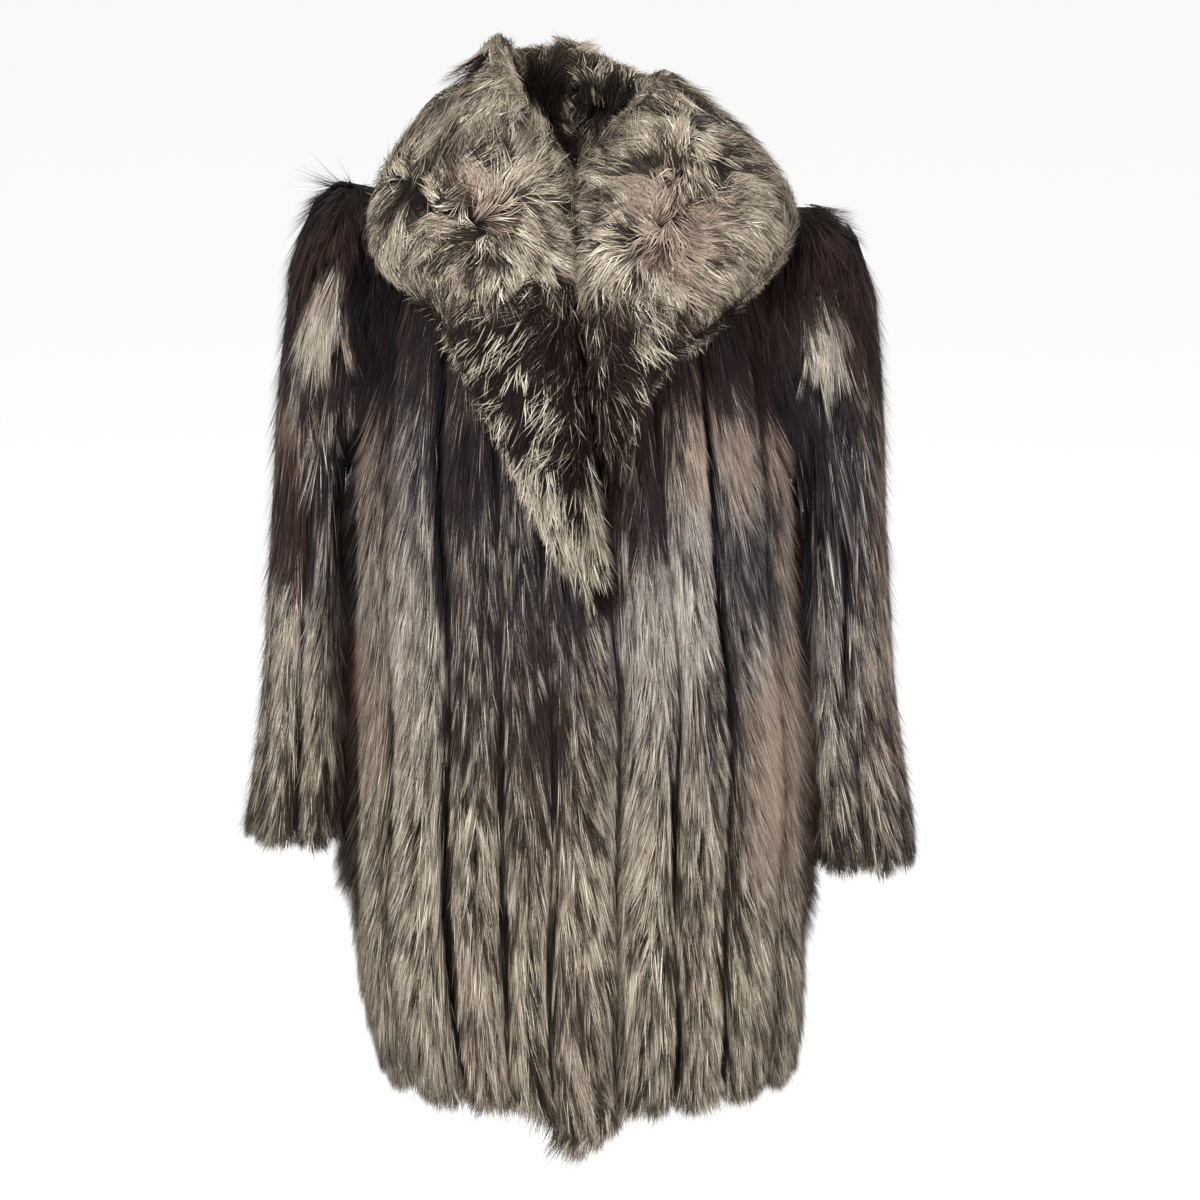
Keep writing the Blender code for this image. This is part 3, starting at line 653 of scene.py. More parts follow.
FAMILIES = 3  # silver, brown and cream hair, one above the other in the hair map
SILVER, BROWN, CREAM = range(FAMILIES)
HAIR_MAP = "OFBake"
TONE_STEP = 0.006  # from the middle of a strand to its sides in the hair map
MAP_MARGIN = 0.04  # kept free at both ends of a family in the hair map
STRAND_LUCK = 7  # random numbers for each strand
LOCK_LUCK = 5  # and for each lock

# The style of a fur: mean length, width at the root, how far it rises through the wall, strands a
# lock, how far they pull to its middle, how far they are turned, the share of strands that stray and
# how far these stand off, bend, segments of a strand, how much higher than the deepest ones the
# others start, and the share of the height from which hair runs freely over the grooves
Style = namedtuple(
    "Style", "length width lift lock pull spread stray stray_lift curl stations shallow free_from"
)
Roots = namedtuple("Roots", "rows columns places normals by_row by_column")
# Tone and family by the hair map, where on it a strand ends, how strongly it pulls to its lock's
# middle, how far it stands off, and where on the map it begins
Looks = namedtuple("Looks", "tones families reaches pulls lifts begins")


def scattered(skin, weight, count, rng):
    """Rows and columns of roots over a skin, denser where the weight is higher."""
    p = skin.outside
    areas = length_of(np.cross(p[1:, 1:] - p[:-1, :-1], p[1:, :-1] - p[:-1, 1:])) / 2
    corners = weight[1:, 1:] + weight[:-1, :-1] + weight[1:, :-1] + weight[:-1, 1:]
    sums = np.cumsum((areas * corners).ravel())
    cells = np.searchsorted(sums, rng.random(count) * sums[-1])
    rows, columns = np.divmod(cells, areas.shape[1])
    return rows + rng.random(count), columns + rng.random(count)


def roots_at(skin, rows, columns):
    """Places, normals and the steps of a row and of a column at each root."""
    places = at(skin, skin.outside, rows, columns)
    normals = unit(at(skin, skin.normals, rows, columns, False))
    by_row = at(skin, skin.outside, rows + 0.5, columns)
    by_row = by_row - at(skin, skin.outside, rows - 0.5, columns)
    by_column = at(skin, skin.outside, rows, columns + 0.5)
    by_column = by_column - at(skin, skin.outside, rows, columns - 0.5)
    return Roots(rows, columns, places, normals, by_row, by_column)


def led(roots, directions):
    """Rows and columns per metre that follow world directions along the skin."""
    a, b = dot(roots.by_row, roots.by_row), dot(roots.by_row, roots.by_column)
    d = dot(roots.by_column, roots.by_column)
    u, v = dot(roots.by_row, directions), dot(roots.by_column, directions)
    determinant = np.maximum(a * d - b * b, 1e-14)
    rows, columns = (d * u - b * v) / determinant, (a * v - b * u) / determinant
    run = roots.by_row * rows[:, None] + roots.by_column * columns[:, None]
    speed = np.maximum(length_of(run), 1e-6)
    return rows / speed, columns / speed


def turned(directions, normals, angles):
    """Directions laid flat on the skin and turned about its normals."""
    flat = flattened(directions, normals)
    return swung(flat, np.cross(flat, normals), angles)


def chosen(looks, which):
    """The looks of some of the strands."""
    return Looks(*(values[which] for values in looks))


def nearest_of(points, centres):
    """The number of the nearest centre for each point."""
    tree = tree_of(centres)
    return np.array([tree.find(point)[1] for point in points])


def fur_object(name, stations, widths, acrosses, looks):
    """Strands that taper to their tips: one triangle each, or a ribbon pointed at both ends.

    stations has each strand's points from root to tip.
    """
    count, last = len(stations), stations.shape[1] - 1
    first_pair = 0 if last == 1 else 1
    points, along, beside = [], [], []
    for number in range(last + 1):
        share = np.full(count, number / last)
        if first_pair <= number < last:
            half = acrosses * (widths[:, number - first_pair] / 2)[:, None]
            points += [stations[:, number] - half, stations[:, number] + half]
            along += [share] * 2
            beside += [np.full(count, -1.0), np.full(count, 1.0)]
        else:
            points.append(stations[:, number])
            along.append(share)
            beside.append(np.zeros(count))
    points = np.stack(points, axis=1)
    along, beside = np.stack(along, axis=1), np.stack(beside, axis=1)
    pattern = [(0, 2, 1)] if first_pair else []
    for left in range(first_pair, 2 * last - 2 - first_pair, 2):
        pattern += [(left, left + 1, left + 3), (left, left + 3, left + 2)]
    end = points.shape[1] - 1
    pattern.append((end - 2, end - 1, end))
    size = points.shape[1]
    faces = (np.arange(count)[:, None, None] * size + np.array(pattern)[None]).reshape(-1, 3)
    mesh = bpy.data.meshes.new(name)
    mesh.vertices.add(count * size)
    mesh.vertices.foreach_set("co", points.ravel().astype(np.float32))
    mesh.loops.add(faces.size)
    mesh.loops.foreach_set("vertex_index", faces.ravel().astype(np.int32))
    mesh.polygons.add(len(faces))
    mesh.polygons.foreach_set("loop_start", np.arange(0, faces.size, 3, dtype=np.int32))
    mesh.update(calc_edges=True)
    layer = mesh.uv_layers.new(name=HAIR_MAP)
    u = looks.tones[:, None] + beside * TONE_STEP
    along = looks.begins[:, None] + (looks.reaches - looks.begins)[:, None] * along
    v = (looks.families[:, None] + MAP_MARGIN + (1 - 2 * MAP_MARGIN) * along) / FAMILIES
    corners = np.stack([u, v], axis=-1).reshape(-1, 2)[faces.ravel()]
    layer.data.foreach_set("uv", corners.ravel().astype(np.float32))
    mesh.shade_smooth()
    return add_object(name, mesh)


# How far each groove between two strips is open, from the panel's first column on
OPENINGS = {
    "back": (0.5,) * 9,
    "front_right": (0.0, 0.5, 0.45, 1.0, 0.6, 0.5, 0.5),
    "front_left": (0.0, 0.6, 0.7, 0.5, 0.5, 0.5),
    "sleeve_right": (0.5, 0.5, 1.0, 0.5, 0.5, 0.5, 0.5, 0.5, 0.5),
    "sleeve_left": (0.5, 0.5, 0.5, 0.5, 0.5, 0.7, 0.9, 0.6, 0.5),
}
OPENING_RUN = 90 * MM  # along a groove from one change to the next
OPENING_STEP = 3.7  # in the noise, from one groove to the next
OPENING_SPREAD = 1.6


def opened(name, columns, heights):
    """How far the groove nearest to each place is open, from 0 to 1."""
    nearest = np.round(columns / COLUMNS_PER_STRIP)
    usual = np.array(OPENINGS[name])[nearest.astype(int).clip(0, len(OPENINGS[name]) - 1)]
    runs = np.stack([nearest * OPENING_STEP, heights / OPENING_RUN, 0 * heights + len(name)], axis=1)
    return np.clip(usual + OPENING_SPREAD * ripple(runs, 1, 9), 0, 1)


ROOT_SHARE = 0.33  # of the wall's thickness, where the deepest strands start
DARK_WIDTH, LIGHT_WIDTH = 0.90, 1.20  # light guard hairs are thicker than dark ones
WIDTH_TONES = (0.30, 0.50)
FRONT_LIMIT = cad_box[0][1] - 16 * MM  # no hair stands out further to the front
LOCK_TURN = 1.4  # how far a whole lock is turned, to one strand's turn
MOST_PULL = 0.9  # of the way to the tip of the lock's middle strand
MARGIN = 0.02  # of a strip, which its hair keeps off the grooves
PARTED_MARGIN = 0.16  # and further where the groove is open
LOOSE_SHARE = 0.05  # of the strands cross the groove by LOOSE columns
LOOSE = 3.0
FREE = 60.0  # columns, where the strips' hair runs together at the top
FREE_FADE = 0.12
HEM_LOOSE = 5.0  # columns by which the hair of the lower edge may cross into the next strip
HEM_SHARE = 0.07  # of the rows, over which that sets in
BETWEEN_LIFT = 0.50  # how far hair stands out further to fill the gap to a neighbour
# Painted shade: how far the hair in the gap to a neighbouring panel is darkened
BETWEEN_SHADE = 0.5
RISE_POWER = 1.8
# What luck does to each strand: the least and what a random share of the second adds
LENGTH_LUCK, LOCK_LENGTH = (0.7, 0.4), 0.25
MARGIN_LUCK = (0.7, 0.4)
LIFT_LUCK = (0.90, 0.18)
SIZE_LUCK = (0.55, 0.9)
ROLL_LUCK = 1.5  # radians about the strand
TAPER = 0.45  # of the width, from the root to the last pair of points
HIGH_BEGIN = 0.5  # how far up the hair map the highest roots begin
TONE_ENDS = (0.02, 0.98)


def planted(skin, weight, count, per_lock, rng):
    """Roots of the strands and then of each lock's middle strand, and the locks of the strands."""
    strands = scattered(skin, weight, count, rng)
    middles = scattered(skin, weight, max(int(count / per_lock), 1), rng)
    roots = roots_at(skin, *(np.concatenate(pair) for pair in zip(strands, middles)))
    return roots, nearest_of(roots.places[:count], roots.places[count:])


def between_grooves(name, skin, roots, luck, column_run, free_from):
    """Runs over the columns that end between the grooves of each strand's strip, and the strips."""
    columns = roots.columns
    strip = np.clip(np.floor(columns / COLUMNS_PER_STRIP), 0, skin.strips - 1)
    parted = opened(name, columns, roots.places[:, 2])
    margin = MARGIN * (1 + luck[:, 5])
    margin = margin + PARTED_MARGIN * parted * spread(MARGIN_LUCK, luck[:, 5])
    loose = (luck[:, 4] < LOOSE_SHARE) * LOOSE
    share = roots.rows / (len(skin.inside) - 1)
    loose += FREE * smooth_step(free_from, free_from + FREE_FADE, share)
    loose += HEM_LOOSE * smooth_step(HEM_SHARE, 0.0, share)
    low = np.minimum((strip + margin) * COLUMNS_PER_STRIP - loose, columns)
    high = np.maximum((strip + 1 - margin) * COLUMNS_PER_STRIP + loose, columns)
    return np.clip(columns + column_run, low, high) - columns, strip


def ribbon(style, luck, tones, normals, run):
    """Widths at the pairs of points of each strand, and the direction across it."""
    across = unit(np.cross(run, normals))
    across = unit(swung(across, normals, (luck[:, 5] - 0.5) * ROLL_LUCK))
    size = style.width * spread(SIZE_LUCK, luck[:, 3])
    size = size * (DARK_WIDTH + (LIGHT_WIDTH - DARK_WIDTH) * smooth_step(*WIDTH_TONES, tones))
    pairs = max(style.stations - 1, 1)
    widths = [size * (1.0 - TAPER * number / style.stations) for number in range(pairs)]
    return np.stack(widths, axis=1), across


def grow(name, skin, weight, raised, count, style, comb, colour, seed):
    """Fur over a named skin, in locks whose strands lean towards the lock's middle strand.

    comb gives the strands' world directions and length factors, and colour their looks.
    raised is 1 where the fur stands out further to fill a gap to a neighbour, with painted shade.
    """
    rng = np.random.default_rng(seed)
    roots, lock = planted(skin, weight, count, style.lock, rng)
    rows, columns = roots.rows, roots.columns
    lock_count = len(rows) - count
    off_middle = np.zeros(len(rows))
    off_middle[:count] = length_of(roots.places[:count] - roots.places[count:][lock])
    own = np.concatenate([lock, np.arange(lock_count)])
    lock_luck = rng.random((lock_count, LOCK_LUCK))[own]
    luck = rng.random((len(rows), STRAND_LUCK))
    luck[count:] = 0.5
    directions, factors, stiff = comb(roots)
    turn = style.spread * ((luck[:, 0] - 0.5) + LOCK_TURN * (lock_luck[:, 0] - 0.5))
    directions = turned(directions, roots.normals, turn)
    looks = colour(roots, luck, lock_luck, off_middle)
    row_step, column_step = led(roots, directions)
    lengths = spread(LENGTH_LUCK, luck[:, 1]) + LOCK_LENGTH * lock_luck[:, 1]
    lengths = style.length * factors * lengths
    row_run, column_run = row_step * lengths, column_step * lengths
    pull = np.minimum(style.pull * (0.5 + lock_luck[:count, 2]) * looks.pulls[:count], MOST_PULL)
    if skin.strips:
        column_run, strip = between_grooves(name, skin, roots, luck, column_run, style.free_from)
        pull = pull * (strip[count:][lock] == strip[:count])
    to_row = (rows + row_run)[count:][lock] - (rows + row_run)[:count]
    to_column = (columns + column_run)[count:][lock] - (columns + column_run)[:count]
    if skin.closed:
        around = skin.outside.shape[1] - 1
        to_column = np.mod(to_column + around / 2, around) - around / 2
    rows, columns, lengths, luck = rows[:count], columns[:count], lengths[:count], luck[:count]
    row_run, column_run = row_run[:count], column_run[:count]
    normals, directions = roots.normals[:count], directions[:count]
    looks = chosen(looks, slice(count))
    stiff = stiff[:count, None]
    stray = np.where(luck[:, 2] < style.stray, style.stray_lift * luck[:, 6], 0.0) + looks.lifts
    between = at(skin, raised, rows, columns, False)
    lift = style.lift * spread(LIFT_LUCK, luck[:, 4]) * (1.0 + BETWEEN_LIFT * between)
    start = ROOT_SHARE + style.shallow * luck[:, 2]
    bend = np.cross(directions, normals) * (style.curl * (luck[:, 3] - 0.5) * lengths)[:, None]
    points = []
    for number in range(style.stations + 1):
        share = number / style.stations
        lean = share**2 * pull
        station_rows = rows + row_run * share + to_row * lean
        station_columns = columns + column_run * share + to_column * lean
        low = at(skin, skin.inside, station_rows, station_columns)
        high = at(skin, skin.outside, station_rows, station_columns)
        rise = start + (lift - start) * (1.0 - (1.0 - share) ** RISE_POWER)
        point = low + (high - low) * rise[:, None]
        if number:
            deep = points[0] + normals * ((rise - start) * wall)[:, None]
            straight = deep + directions * (lengths * share)[:, None]
            point += (straight - point) * stiff
        else:
            wall = length_of(high - low)
        point += normals * (stray * share**2)[:, None]
        points.append(point + bend * math.sin(share * math.pi))
    points = np.stack(points, axis=1)
    points[..., 1] = np.maximum(points[..., 1], FRONT_LIMIT)
    run = points[:, -1] - points[:, 0]
    sound = length_of(run) < 1.5 * lengths + 10 * MM  # the others were led off their skin
    widths, across = ribbon(style, luck, looks.tones, normals, run)
    begins = np.maximum(looks.begins, HIGH_BEGIN * (start - ROOT_SHARE) / (1.0 - ROOT_SHARE))
    # painted shade on the hair in the gap to a neighbouring panel
    tones = np.clip(looks.tones * (1.0 - BETWEEN_SHADE * between), *TONE_ENDS)
    looks = chosen(looks._replace(tones=tones, begins=begins), sound)
    return fur_object(name + "_fur", points[sound], widths[sound], across[sound], looks)


# -------------------------------------------------- colours over the coat

# Where the front is lighter, darker or browner than its height says, as seen from a little above:
# x and up in millimetres from the coat's middle line and from the height of its chest, half sizes,
# how many light hairs (level), how many brown ones (brown), and how even the tone is (soft).
Patch = namedtuple("Patch", "x up half_x half_up level brown soft")
SEEN_FROM = math.radians(13)
CHEST_HEIGHT = -0.376
PATCH_FRAY = (0.008, 0.008, 0.035)
PATCH_POWER = 1.5
PATCH_DEPTHS = (0.04, -0.02)  # over which the patches set in, towards the front
BODY_PATCHES = (
    Patch(-45, -40, 60, 150, 0.30, 0.3, 0.0),
    Patch(-168, 30, 40, 135, 0.68, 0.5, 0.0),
    Patch(-178, 150, 36, 70, 0.44, 0.7, 0.2),
    Patch(-112, 70, 26, 70, 0.36, 0.5, 0.1),
    Patch(-105, 160, 26, 60, 0.18, 0.4, 0.2),
    Patch(-196, -50, 14, 80, 0.56, 0.9, 0.4),
    Patch(-184, 290, 28, 62, -0.40, 0.2, 0.0),
    Patch(44, -150, 16, 190, 0.54, 0.3, 0.1),
    Patch(14, -60, 16, 90, 0.42, 0.5, 0.1),
    Patch(88, 40, 44, 80, 0.64, 0.1, 0.0),
    Patch(168, 65, 36, 56, 0.33, 0.0, 0.4),
    Patch(62, 120, 26, 50, 0.20, 0.4, 0.2),
    Patch(112, 172, 14, 40, 0.72, 0.85, 0.5),
    Patch(143, 168, 14, 44, 0.66, 0.85, 0.5),
    Patch(177, 171, 12, 34, 0.68, 0.85, 0.4),
    Patch(197, 100, 10, 56, 0.58, 0.9, 0.5),
    Patch(128, -20, 12, 60, 0.34, 0.2, 0.1),
    Patch(188, -105, 32, 112, 0.70, 0.95, 0.65),
)
SLEEVE_PATCHES = (
    Patch(-188, 285, 16, 60, -0.40, 0.2, 0.0),
    Patch(-225, 296, 19, 52, 1.00, 0.3, 0.0),
    Patch(224, 248, 15, 46, 0.94, 0.2, 0.0),
    Patch(-262, 172, 18, 38, 0.50, 0.95, 0.6),
    Patch(-256, 110, 28, 66, 0.20, 0.80, 0.1),
    Patch(244, 125, 24, 60, 0.36, 0.2, 0.1),
    Patch(284, 130, 9, 80, 0.48, 0.95, 0.6),
    Patch(-250, 345, 40, 45, 0.05, 0.9, 0.3),
    Patch(232, 345, 36, 40, 0.12, 0.9, 0.3),
)
COLLAR_PATCHES = (
    Patch(-132, 368, 26, 7, 0.16, 0.1, 0.2),
    Patch(-92, 352, 22, 24, 0.52, 0.6, 0.15),
    Patch(-74, 512, 22, 20, 0.30, 0.6, 0.1),
    Patch(-80, 455, 40, 36, 0.66, 0.1, 0.0),
    Patch(-146, 416, 5, 16, 0.05, 0.1, 0.4),
    Patch(-101, 304, 38, 22, 0.40, 0.3, 0.0),
    Patch(106, 300, 38, 22, 0.42, 0.3, 0.0),
    Patch(88, 335, 22, 36, 0.62, 0.85, 0.45),
    Patch(112, 437, 10, 16, 0.36, 0.3, 0.1),
    Patch(60, 445, 36, 30, 0.50, 0.5, 0.1),
)

# Height and share of light hairs
BODY_LEVELS = ((-0.84, 0.40), (-0.79, 0.43), (-0.70, 0.47), (-0.60, 0.49), (-0.50, 0.50),
               (-0.40, 0.49), (-0.30, 0.46), (-0.20, 0.38), (-0.12, 0.24), (-0.06, 0.08), (0.05, 0.06))
SLEEVE_LEVELS = ((-0.65, 0.32), (-0.58, 0.38), (-0.48, 0.48), (-0.35, 0.53), (-0.25, 0.38),
                 (-0.17, 0.28), (-0.09, 0.12), (0.05, 0.06))


def patched(places, patches, level, brown):
    """Level, brown share and evenness with the patches of the front worked in."""
    up = (places[:, 2] - CHEST_HEIGHT) * math.cos(SEEN_FROM) + places[:, 1] * math.sin(SEEN_FROM)
    front = smooth_step(*PATCH_DEPTHS, places[:, 1])
    soft = np.zeros(len(places))
    wave = 0.5 + noise(places, PATCH_FRAY, 77)
    for patch in patches:
        away = ((places[:, 0] - patch.x * MM) / (patch.half_x * MM)) ** 2
        away = (away + ((up - patch.up * MM) / (patch.half_up * MM)) ** 2) * wave
        share = np.exp(-(away**PATCH_POWER)) * front
        level = level + (patch.level - level) * share
        brown = brown + (patch.brown - brown) * share
        soft = soft + (patch.soft - soft) * share
    return level, brown, soft


DARK_SPREAD, DARK_RISE, EVEN_SPREAD = 0.24, 0.10, 0.16
LIGHT_SPREAD, LIGHT_POWER = 0.38, 1.4
DIMMING, DIMMEST = 2.0, 0.15  # of all hairs, where the level is below 0


def mingled(level, soft, pick, luck, blend, dark, bright):
    """Tones of hairs that are either light or dark, or alike where the fur is soft."""
    light = smooth_step(-blend, blend, level - pick)
    dark_tone = dark + DARK_SPREAD * luck[:, 1] ** 2 + DARK_RISE * level
    light_tone = bright + LIGHT_SPREAD * luck[:, 2] ** LIGHT_POWER
    tone = dark_tone + (light_tone - dark_tone) * light
    even = level + EVEN_SPREAD * (luck[:, 1] - 0.5)
    tone = tone + (even - tone) * soft
    return tone * np.clip(1.0 + DIMMING * level, DIMMEST, 1.0)


def picked(shares, streak, luck, lock_luck):
    """A number for each strand: it is light where this is below the level of light hairs."""
    return shares[0] * streak + shares[1] * luck[:, 0] + shares[2] * lock_luck[:, 3]


UNTIPPED = 0.15  # of the length, by which some strands end before the dark tip
UNTIPPED_SHARE, COLLAR_UNTIPPED_SHARE = 0.3, 0.35
BROAD, FINE = (2.3, 5.5), (15.0, 11.0)  # noise patches for each strip across and metre up
BROWN_SCALE = (0.7, 0.8, 1)
BLOTCH = (0.12, 0.16)  # of the level, low down and what is added above
BLOTCH_RISE = (-0.50, -0.25)
BROWN_SHARE, BROWN_SPREAD = 0.22, 0.6
BROWN_TOP = 0.40  # more of it at the shoulders
BROWN_RISE = (-0.20, -0.08)
GROOVE_EDGE = (0.72, 0.96)  # from a strip's crest to its edge, over which its hair darkens
GROOVE_LEVEL, GROOVE_SHADE = 0.20, 0.85
GROOVE_OPEN = (0.3, 0.7)  # of that in a shut groove, and what an open one adds
PANEL_PICK = (0.24, 0.32, 0.44)  # what streak, strand and lock add to picking the light hairs
PANEL_BLEND, PANEL_DARK, PANEL_BRIGHT = 0.09, 0.05, (0.50, 0.08)
WARMTH = (-0.18, -0.58)  # heights between which grey silver turns to beige
WARM_ASIDE = 0.3  # metres by which these rise for each metre to the wearer's right
TUFT_LEVEL = 0.80  # the brightest tufts are cream at any height
SHOULDER_TOP = (-0.07, -0.02)  # heights between which the shoulders' longer hair sets in
SHOULDER_POINT = 166 * MM  # from the middle, where its roots are, beside the collar
SHOULDER_REACH = 28 * MM
SHOULDER_FLUFF = 18 * MM
OUTER_POINT = 212 * MM  # and further out, where the sleeves' heads bend down
OUTER_REACH = 26 * MM
OUTER_FLUFF = {-1: 15 * MM, 1: 9 * MM}
FLUFF_LUCK = (0.2, 0.8)
WISP_POINT = (-0.212, 0.0)  # the roots of the right shoulder's loose wisp, across and deep
WISP_REACH = (0.012, 0.025)
WISP, WISP_SHARE = 46 * MM, 0.5


def panel_colour(name, heights, patches, seed):
    """The looks of a panel's strands, by height, strip, noise and patches."""
    table = np.array(heights)

    def colour(roots, luck, lock_luck, off_middle):
        strip = roots.columns / COLUMNS_PER_STRIP
        x, height = roots.places[:, 0], roots.places[:, 2]
        own = np.full(len(strip), float(seed % 17))
        broad = np.stack([strip * BROAD[0], height * BROAD[1], own], axis=1)
        fine = np.stack([strip * FINE[0], height * FINE[1], own], axis=1)
        level = np.interp(height, table[:, 0], table[:, 1])
        blotch = spread(BLOTCH, smooth_step(*BLOTCH_RISE, height))
        level = level + blotch * ripple(broad, 1, seed)
        brown = BROWN_SHARE + BROWN_SPREAD * ripple(broad * BROWN_SCALE, 1, seed + 2)
        brown = brown + BROWN_TOP * smooth_step(*BROWN_RISE, height)
        level, brown, soft = patched(roots.places, patches, level, brown)
        groove = smooth_step(*GROOVE_EDGE, np.abs(2 * (strip - np.floor(strip)) - 1))
        groove = groove * spread(GROOVE_OPEN, opened(name, roots.columns, height))
        level = level - GROOVE_LEVEL * groove
        streak = noise(fine, (1, 1, 1), seed + 1)
        pick = picked(PANEL_PICK, streak, luck, lock_luck)
        bright = spread(PANEL_BRIGHT, level)
        tone = mingled(level, soft, pick, luck, PANEL_BLEND, PANEL_DARK, bright)
        tone = tone * (1.0 - GROOVE_SHADE * groove)
        warm = smooth_step(*WARMTH, height + WARM_ASIDE * x) > luck[:, 3]
        warm = warm | (level > TUFT_LEVEL)
        mix = 0.5 * luck[:, 5] + 0.5 * streak < brown
        family = np.where(mix, BROWN, np.where(warm, CREAM, SILVER))
        on_top = smooth_step(*SHOULDER_TOP, height)
        fluff = SHOULDER_FLUFF * bell(np.abs(x), SHOULDER_POINT, SHOULDER_REACH)
        outer = np.where(x < 0, OUTER_FLUFF[-1], OUTER_FLUFF[1])
        fluff = fluff + outer * bell(np.abs(x), OUTER_POINT, OUTER_REACH)
        rise = fluff * spread(FLUFF_LUCK, luck[:, 1])
        off_wisp = (roots.places[:, :2] - WISP_POINT) / WISP_REACH
        wisp = np.exp(-(off_wisp**2).sum(axis=1)) * lock_luck[:, 1]
        rise = rise + WISP * (lock_luck[:, 4] < WISP_SHARE) * wisp
        one = np.ones(len(strip))
        reach = one - UNTIPPED * (luck[:, 6] < UNTIPPED_SHARE)
        return Looks(tone, family, reach, one, on_top * rise, 0 * one)

    return colour


# -------------------------------------------------- directions over the coat

# The sideways lean of the hair on a front, at places across it
RIGHT_LEAN = ((-0.21, -0.34), (-0.16, -0.22), (-0.09, 0.0), (-0.02, 0.16), (0.03, 0.34))
LEFT_LEAN = ((0.03, -0.26), (0.07, -0.14), (0.12, 0.0), (0.21, 0.14))
LEAN_TOP = (-0.10, -0.30)  # heights between which the lean sets in
LEAN_END = (-0.86, -0.74)  # and between which it ends
TIP_LEAN = 0.65  # of the lowest hair, at the corner of the right front
TIP_HEIGHTS = (-0.80, -0.86)
TIP_BESIDE = (-0.035, 0.030)  # where it is longer, and the reach of that
TIP_EDGE = (0.014, 0.036)  # and over which distances it grows shorter towards the edge
TIP_LONGER, TIP_SHORTER = 0.45, 0.6
# Where the bulging strip's hair is swept aside: across and height, sizes, depths and direction
SWEEP_PLACE, SWEEP_SIZE, SWEEP_DEPTHS = (0.178, -0.46), (0.04, 0.11), (0.0, -0.05)
SWEEP = 1.3 * np.array([0.6, 0.0, -0.8])
SLEEVE_FALL = {-1: np.array([-0.20, -0.04, -1.0]), 1: np.array([0.20, -0.04, -1.0])}
SIDE_NAMES = {-1: "right", 1: "left"}
FREE_FRINGE = (20 * MM, 75 * MM)  # heights above the lower edge over which the skin takes over
HEM_SIDES = (0.11, 0.18)  # distances from the middle over which the fringe grows shorter
FRINGE_CUT, SIDE_CUT = 0.56, 0.16
FRINGE_STIFF, FRINGE_PLUMB = 0.85, 0.8
# How far the hair opens from the crest of a strip to its grooves, and is stirred, in radians
BACK_FAN, FRONT_FAN, SLEEVE_FAN = (0.26, 0.22), (0.22, 0.22), (0.24, 0.24)
STIR_PATCH = (0.06, 0.06, 0.10)
BODY_STIFF, SLEEVE_STIFF = 0.1, 0.15
SIDEWAYS = np.array([1.0, 0.0, 0.0])
PLUMB = np.array([0.0, 0.0, -1.0])


def hanging(name, roots, directions, stiff):
    """Directions, lengths and stiffness, with the lowest hair shorter and hanging straight."""
    free = at_the_edge(skins[name], roots)
    directions = unit(directions + FRINGE_PLUMB * free[:, None] * PLUMB)
    aside = smooth_step(*HEM_SIDES, np.abs(roots.places[:, 0]))
    factors = 1.0 - (FRINGE_CUT + SIDE_CUT * aside) * free
    return directions, factors, stiff + (FRINGE_STIFF - stiff) * free


def fanned(roots, down, fan, stir, seed):
    """Directions down the skin that open from the crest of each strip to its grooves."""
    share = roots.columns / COLUMNS_PER_STRIP
    angle = fan * (2 * (share - np.floor(share)) - 1)
    angle = angle + stir * 2 * ripple(roots.places, STIR_PATCH, seed)
    return swung(down, flattened(roots.by_column, down), angle)


def at_the_edge(skin, roots):
    """1 at a panel's lower edge, where the hair hangs free, falling to 0 above it."""
    above = roots.places[:, 2] - at(skin, skin.outside, 0 * roots.rows, roots.columns)[:, 2]
    return 1.0 - smooth_step(*FREE_FRINGE, above)


def back_comb(roots):
    directions = fanned(roots, -unit(roots.by_row), *BACK_FAN, 5)
    return hanging("back", roots, directions, BODY_STIFF)


def front_comb(name, lean):
    """Down a front, leaning away from its middle and swept aside at the bulge."""
    table = np.array(lean)

    def comb(roots):
        x, y, height = roots.places.T
        aside = np.interp(x, table[:, 0], table[:, 1])
        aside = aside * smooth_step(*LEAN_TOP, height) * smooth_step(*LEAN_END, height)
        down = unit(aside[:, None] * SIDEWAYS - unit(roots.by_row))
        directions = fanned(roots, down, *FRONT_FAN, 7)
        swept = bell(x, SWEEP_PLACE[0], SWEEP_SIZE[0]) * bell(height, SWEEP_PLACE[1], SWEEP_SIZE[1])
        swept = swept * smooth_step(*SWEEP_DEPTHS, y)
        directions = unit(directions + swept[:, None] * SWEEP)
        directions, factors, stiff = hanging(name, roots, directions, BODY_STIFF)
        if name == "front_right":
            low = smooth_step(*TIP_HEIGHTS, height)
            directions = unit(directions - low[:, None] * TIP_LEAN * SIDEWAYS)
            factors = factors + TIP_LONGER * low * bell(x, *TIP_BESIDE)
            factors = factors * (1.0 - TIP_SHORTER * low * smooth_step(*TIP_EDGE, x))
        return directions, factors, stiff

    return comb


def sleeve_comb(side):
    """Down a sleeve, aslant away from the body."""
    def comb(roots):
        fall = np.broadcast_to(SLEEVE_FALL[side], roots.normals.shape)
        directions = fanned(roots, flattened(fall, roots.normals), *SLEEVE_FAN, 11)
        return hanging("sleeve_" + SIDE_NAMES[side], roots, directions, SLEEVE_STIFF)

    return comb


# Across and height of the partings from which the lobes' hair runs out
PARTINGS = {-1: ((-0.150, 0.026), (-0.080, 0.010)), 1: ((0.080, -0.004), (0.104, 0.070))}
LOBE_END = -0.028
LOBE_BLEND = 0.022
LOBE_FALL = 0.40  # the lobe's end hangs lower towards its outer side
LOBE_FALL_FROM = 0.03
LOBE_RAGGED, RAGGED_PATCH = 0.03, 0.018
